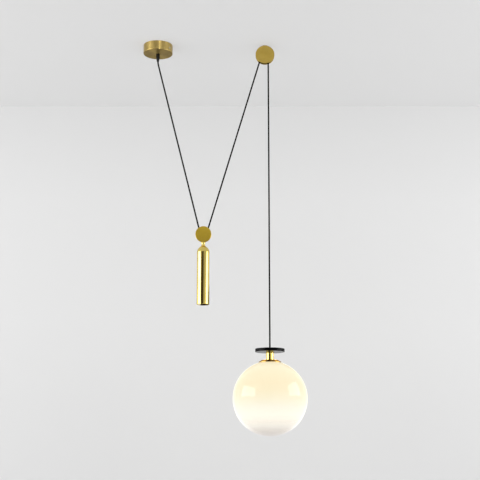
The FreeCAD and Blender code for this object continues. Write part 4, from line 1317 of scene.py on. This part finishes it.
def looked_at(tree: bpy.types.NodeTree) -> bpy.types.NodeSocket:
    """Give 1 to rays that look at a thing, mirror it or see it through glass.

    Args:
        tree: a material's or the world's tree.

    Returns:
        1 or 0.
    """
    ray = add_node(tree, "ShaderNodeLightPath")
    seen = ray.outputs["Is Camera Ray"]
    for sense in ("Is Glossy Ray", "Is Transmission Ray"):
        seen = add_node(tree, "ShaderNodeMath", settings={"operation": "MAXIMUM"},
                        links={0: seen, 1: ray.outputs[sense]}).outputs[0]
    return seen


def near_side(tree: bpy.types.NodeTree, shader: bpy.types.Node) -> bpy.types.NodeSocket:
    """Show a sheet's shader on its near side and nothing behind.

    Args:
        tree: the sheet's tree.
        shader: what its near side shows.

    Returns:
        The finished surface.
    """
    side = add_node(tree, "ShaderNodeNewGeometry")
    through = add_node(tree, "ShaderNodeBsdfTransparent")
    return add_node(tree, "ShaderNodeMixShader",
                    links={0: side.outputs["Backfacing"], 1: shader.outputs[0],
                           2: through.outputs[0]}).outputs[0]


@dataclass(frozen=True)
class Backdrop(Finish):
    """A pale matt sheet that shows only its near side and keeps soft shadows."""

    tone: str
    # Tones at the top and the foot of a sheet: painted shade towards the ceiling and the floor.
    painted_shade_high_tone: str
    painted_shade_low_tone: str
    steady: float = 0.55

    def surface(self, tree: bpy.types.NodeTree) -> bpy.types.NodeSocket:
        """A steady tone for what looks at it, mixed with matt paint whose tone by height carries
        painted shade towards the corners.

        Args:
            tree: the material's tree.

        Returns:
            The output of its shader.
        """
        steady = add_node(tree, "ShaderNodeMath", settings={"operation": "MULTIPLY"},
                          values={1: self.steady}, links={0: looked_at(tree)})
        place = add_node(tree, "ShaderNodeTexCoord")
        height = add_node(tree, "ShaderNodeSeparateXYZ", links={0: place.outputs["Object"]})
        share = add_node(tree, "ShaderNodeMapRange", links={"Value": height.outputs["Z"]},
                         values={"From Min": -2.0, "From Max": 0.0})
        # Tone by height, with painted shade towards the ceiling corner and the floor.
        paint = add_node(tree, "ShaderNodeValToRGB", links={0: share.outputs[0]},
                         stops=[(0.05, self.painted_shade_low_tone), (0.45, self.tone), (0.75, self.tone),
                                (1.0, self.painted_shade_high_tone)])
        matt = add_node(tree, "ShaderNodeBsdfDiffuse", links={"Color": paint.outputs[0]})
        flat = add_node(tree, "ShaderNodeEmission", links={"Color": paint.outputs[0]})
        return near_side(tree, add_node(tree, "ShaderNodeMixShader",
                                        links={0: steady.outputs[0], 1: matt.outputs[0],
                                               2: flat.outputs[0]}))


@dataclass(frozen=True)
class Card(Finish):
    """A bright or dark card that faces the object, seen in reflections alone."""

    place: tuple[float, float, float]
    aim: tuple[float, float, float]
    width: float
    height: float
    tone: str = "#FFFFFF"
    strength: float = 1.0

    def surface(self, tree: bpy.types.NodeTree) -> bpy.types.NodeSocket:
        """One even tone towards the object and nothing behind.

        Args:
            tree: the material's tree.

        Returns:
            The output of its shader.
        """
        return near_side(tree, add_node(tree, "ShaderNodeEmission",
                                        values={"Color": linear(self.tone),
                                                "Strength": self.strength}))

    def corners(self) -> list[Vector]:
        """Its corners, anticlockwise from its near side.

        Returns:
            The corners.
        """
        centre, normal = Vector(self.place), Vector(self.aim).normalized()
        across = Vector((0, 0, 1)).cross(normal).normalized() * self.width / 2
        up = normal.cross(across).normalized() * self.height / 2
        return [centre - across - up, centre + across - up, centre + across + up,
                centre - across + up]


@dataclass
class Studio:
    """Camera, ceiling, wall and floor, soft light from both sides and cards to mirror."""

    lens: float = 79.05
    sensor: float = 36.0
    place: tuple[float, float, float] = (0.3583, -4.3374, -1.7881)
    pitch: float = 11.97
    middle: tuple[float, float, float] = (0.25, 0.0, -0.9)
    room_x: float = 0.24
    reach: float = 4.0
    wall_y: float = 0.80
    floor_z: float = -2.45
    ceiling_gap: float = 0.0006
    ceiling: Backdrop = Backdrop("ceiling", "#E1E1E1", "#E1E1E1", "#E1E1E1")
    # The wall is darker at its top and its foot: painted shade in the corners.
    wall: Backdrop = Backdrop("wall", "#E7E7E7", "#E1E1E1", "#E3E3E3")
    floor: Backdrop = Backdrop("floor", "#E0E0E0", "#E0E0E0", "#E0E0E0")
    sky_seen: float = 0.80
    sky_fill: float = 0.55
    side_power: float = 45.0
    right_share: float = 0.8
    # Painted reflections: the bright cards give painted highlights and the dark cards painted dark
    # reflections, seen by no other ray.
    mirrored: tuple[Card, ...] = (
        Card("dark_card", (-0.48, -2.2, -1.36), (0, 1, 0), 2.32, 1.88, "#4B4640"),
        Card("left_card", (-1.22, -0.58, -0.98), (0.98, 0.21, 0), 1.7, 0.8, strength=5.5),
        Card("right_card", (1.86, -0.31, -0.98), (-1, 0.03, 0), 1.16, 0.8, strength=5.5),
        Card("canopy_left_card", (-1.27, -0.70, -0.26), (0.33, 0.18, 0.93), 0.2, 0.5,
             strength=24.0),
        Card("canopy_right_card", (0.41, -1.39, -0.26), (-0.12, 0.40, 0.91), 0.16, 0.5,
             strength=34.0),
        Card("canopy_low_card", (-0.04, 0.45, -0.22), (0, -0.5, 0.87), 1.0, 0.8, "#A6A29B"),
        Card("cap_card", (0.481, 0.35, -1.135), (0, -1, 0), 0.6, 0.27, "#2E2A26"),
    )

    def panel(self, name: str, corners: Sequence[Sequence[float]],
              finish: Finish) -> bpy.types.Object:
        """A flat sheet of the studio, facing the object.

        Args:
            name: its name.
            corners: its corners, anticlockwise as the object sees them.
            finish: its finish.

        Returns:
            The sheet.
        """
        mesh = bpy.data.meshes.new(name)
        mesh.from_pydata(corners, [], [tuple(range(len(corners)))])
        mesh.materials.append(finish.material())
        sheet = bpy.data.objects.new(name, mesh)
        bpy.context.scene.collection.objects.link(sheet)
        return sheet

    def room(self) -> None:
        """Ceiling, wall and floor."""
        left, right = self.room_x - self.reach, self.room_x + self.reach
        near, far = self.wall_y - 2 * self.reach, self.wall_y
        top, low = self.ceiling_gap, self.floor_z
        self.panel("ceiling_sheet", [(left, near, top), (left, far, top), (right, far, top),
                                     (right, near, top)], self.ceiling)
        self.panel("wall_sheet", [(left, far, low), (right, far, low), (right, far, top),
                                  (left, far, top)], self.wall)
        self.panel("floor_sheet", [(left, near, low), (right, near, low), (right, far, low),
                                   (left, far, low)], self.floor)

    def cards(self) -> None:
        """The bright and dark shapes that the brass and the glass mirror."""
        for card in self.mirrored:
            sheet = self.panel(card.name, card.corners(), card)
            for sense in ("camera", "diffuse", "transmission", "shadow", "volume_scatter"):
                setattr(sheet, "visible_" + sense, False)

    def softbox(self, name: str, place: tuple[float, float, float], width: float,
                height: float, power: float) -> None:
        """A soft rectangular light that faces the object and that nothing mirrors.

        Args:
            name: its name.
            place: where it stands.
            width: its width.
            height: its height.
            power: its power in watts.
        """
        light = bpy.data.lights.new(name, "AREA")
        light.shape = "RECTANGLE"
        light.size, light.size_y, light.energy = width, height, power
        holder = bpy.data.objects.new(name, light)
        aim = Vector(self.middle) - Vector(place)
        holder.location, holder.rotation_euler = place, aim.to_track_quat("-Z", "Y").to_euler()
        holder.visible_camera = holder.visible_glossy = False
        bpy.context.scene.collection.objects.link(holder)

    def camera(self) -> None:
        """The camera that took the photograph's view."""
        data = bpy.data.cameras.new("view")
        data.lens, data.sensor_width, data.clip_end = self.lens, self.sensor, 100.0
        holder = bpy.data.objects.new("view", data)
        holder.location = self.place
        holder.rotation_euler = (math.radians(90 + self.pitch), 0.0, 0.0)
        bpy.context.scene.collection.objects.link(holder)
        bpy.context.scene.camera = holder

    def world(self) -> None:
        """A pale surround, plain to look at and a soft fill."""
        world = bpy.data.worlds.new("surround")
        bpy.context.scene.world = world
        world.use_nodes = True
        tree = world.node_tree
        tree.nodes.clear()
        level = add_node(tree, "ShaderNodeMapRange", links={"Value": looked_at(tree)},
                         values={"To Min": self.sky_fill, "To Max": self.sky_seen})
        surround = add_node(tree, "ShaderNodeBackground", values={"Color": (1.0, 1.0, 1.0, 1.0)},
                            links={"Strength": level.outputs[0]})
        add_node(tree, "ShaderNodeOutputWorld", links={0: surround.outputs[0]})

    def build(self) -> None:
        """Set up everything that is not the object."""
        bpy.context.scene.view_settings.view_transform = "Standard"
        self.camera()
        self.room()
        self.cards()
        self.world()
        self.softbox("left_light", (-2.35, -1.1, -1.0), width=3.6, height=1.9,
                     power=self.side_power)
        self.softbox("right_light", (2.85, -0.9, -1.0), width=3.0, height=1.9,
                     power=self.side_power * self.right_share)
        LOG.info("studio is up")


def main() -> None:
    """Build the studio and every sub-assembly in order."""
    logging.basicConfig(level=logging.INFO, format="%(message)s")
    Studio().build()
    Cord().build()
    Canopy().build()
    Pulley(name="ceiling", body="ceiling", centre=(467.3, -43.0), cheek_r=41.0, inner=6.0,
           outer=10.0, axle_r=4.0, screw_x=6.0, screw_z=-13.75, screws_node="hanger_screws",
           finish=SATIN_BRASS).build()
    dress_nodes({SATIN_BRASS: ["hanger_block"]})
    Pulley(name="counterweight", body="counterweight", centre=(204.0, -844.0), cheek_r=33.5,
           inner=5.0, outer=8.0, axle_r=3.5, screw_x=5.5, screw_z=-870.5,
           screws_node="counterweight_stem_screws", finish=BRIGHTENED_YELLOW_BRASS).build()
    Counterweight().build()
    Lamp().build()


if __name__ == "__main__":
    main()
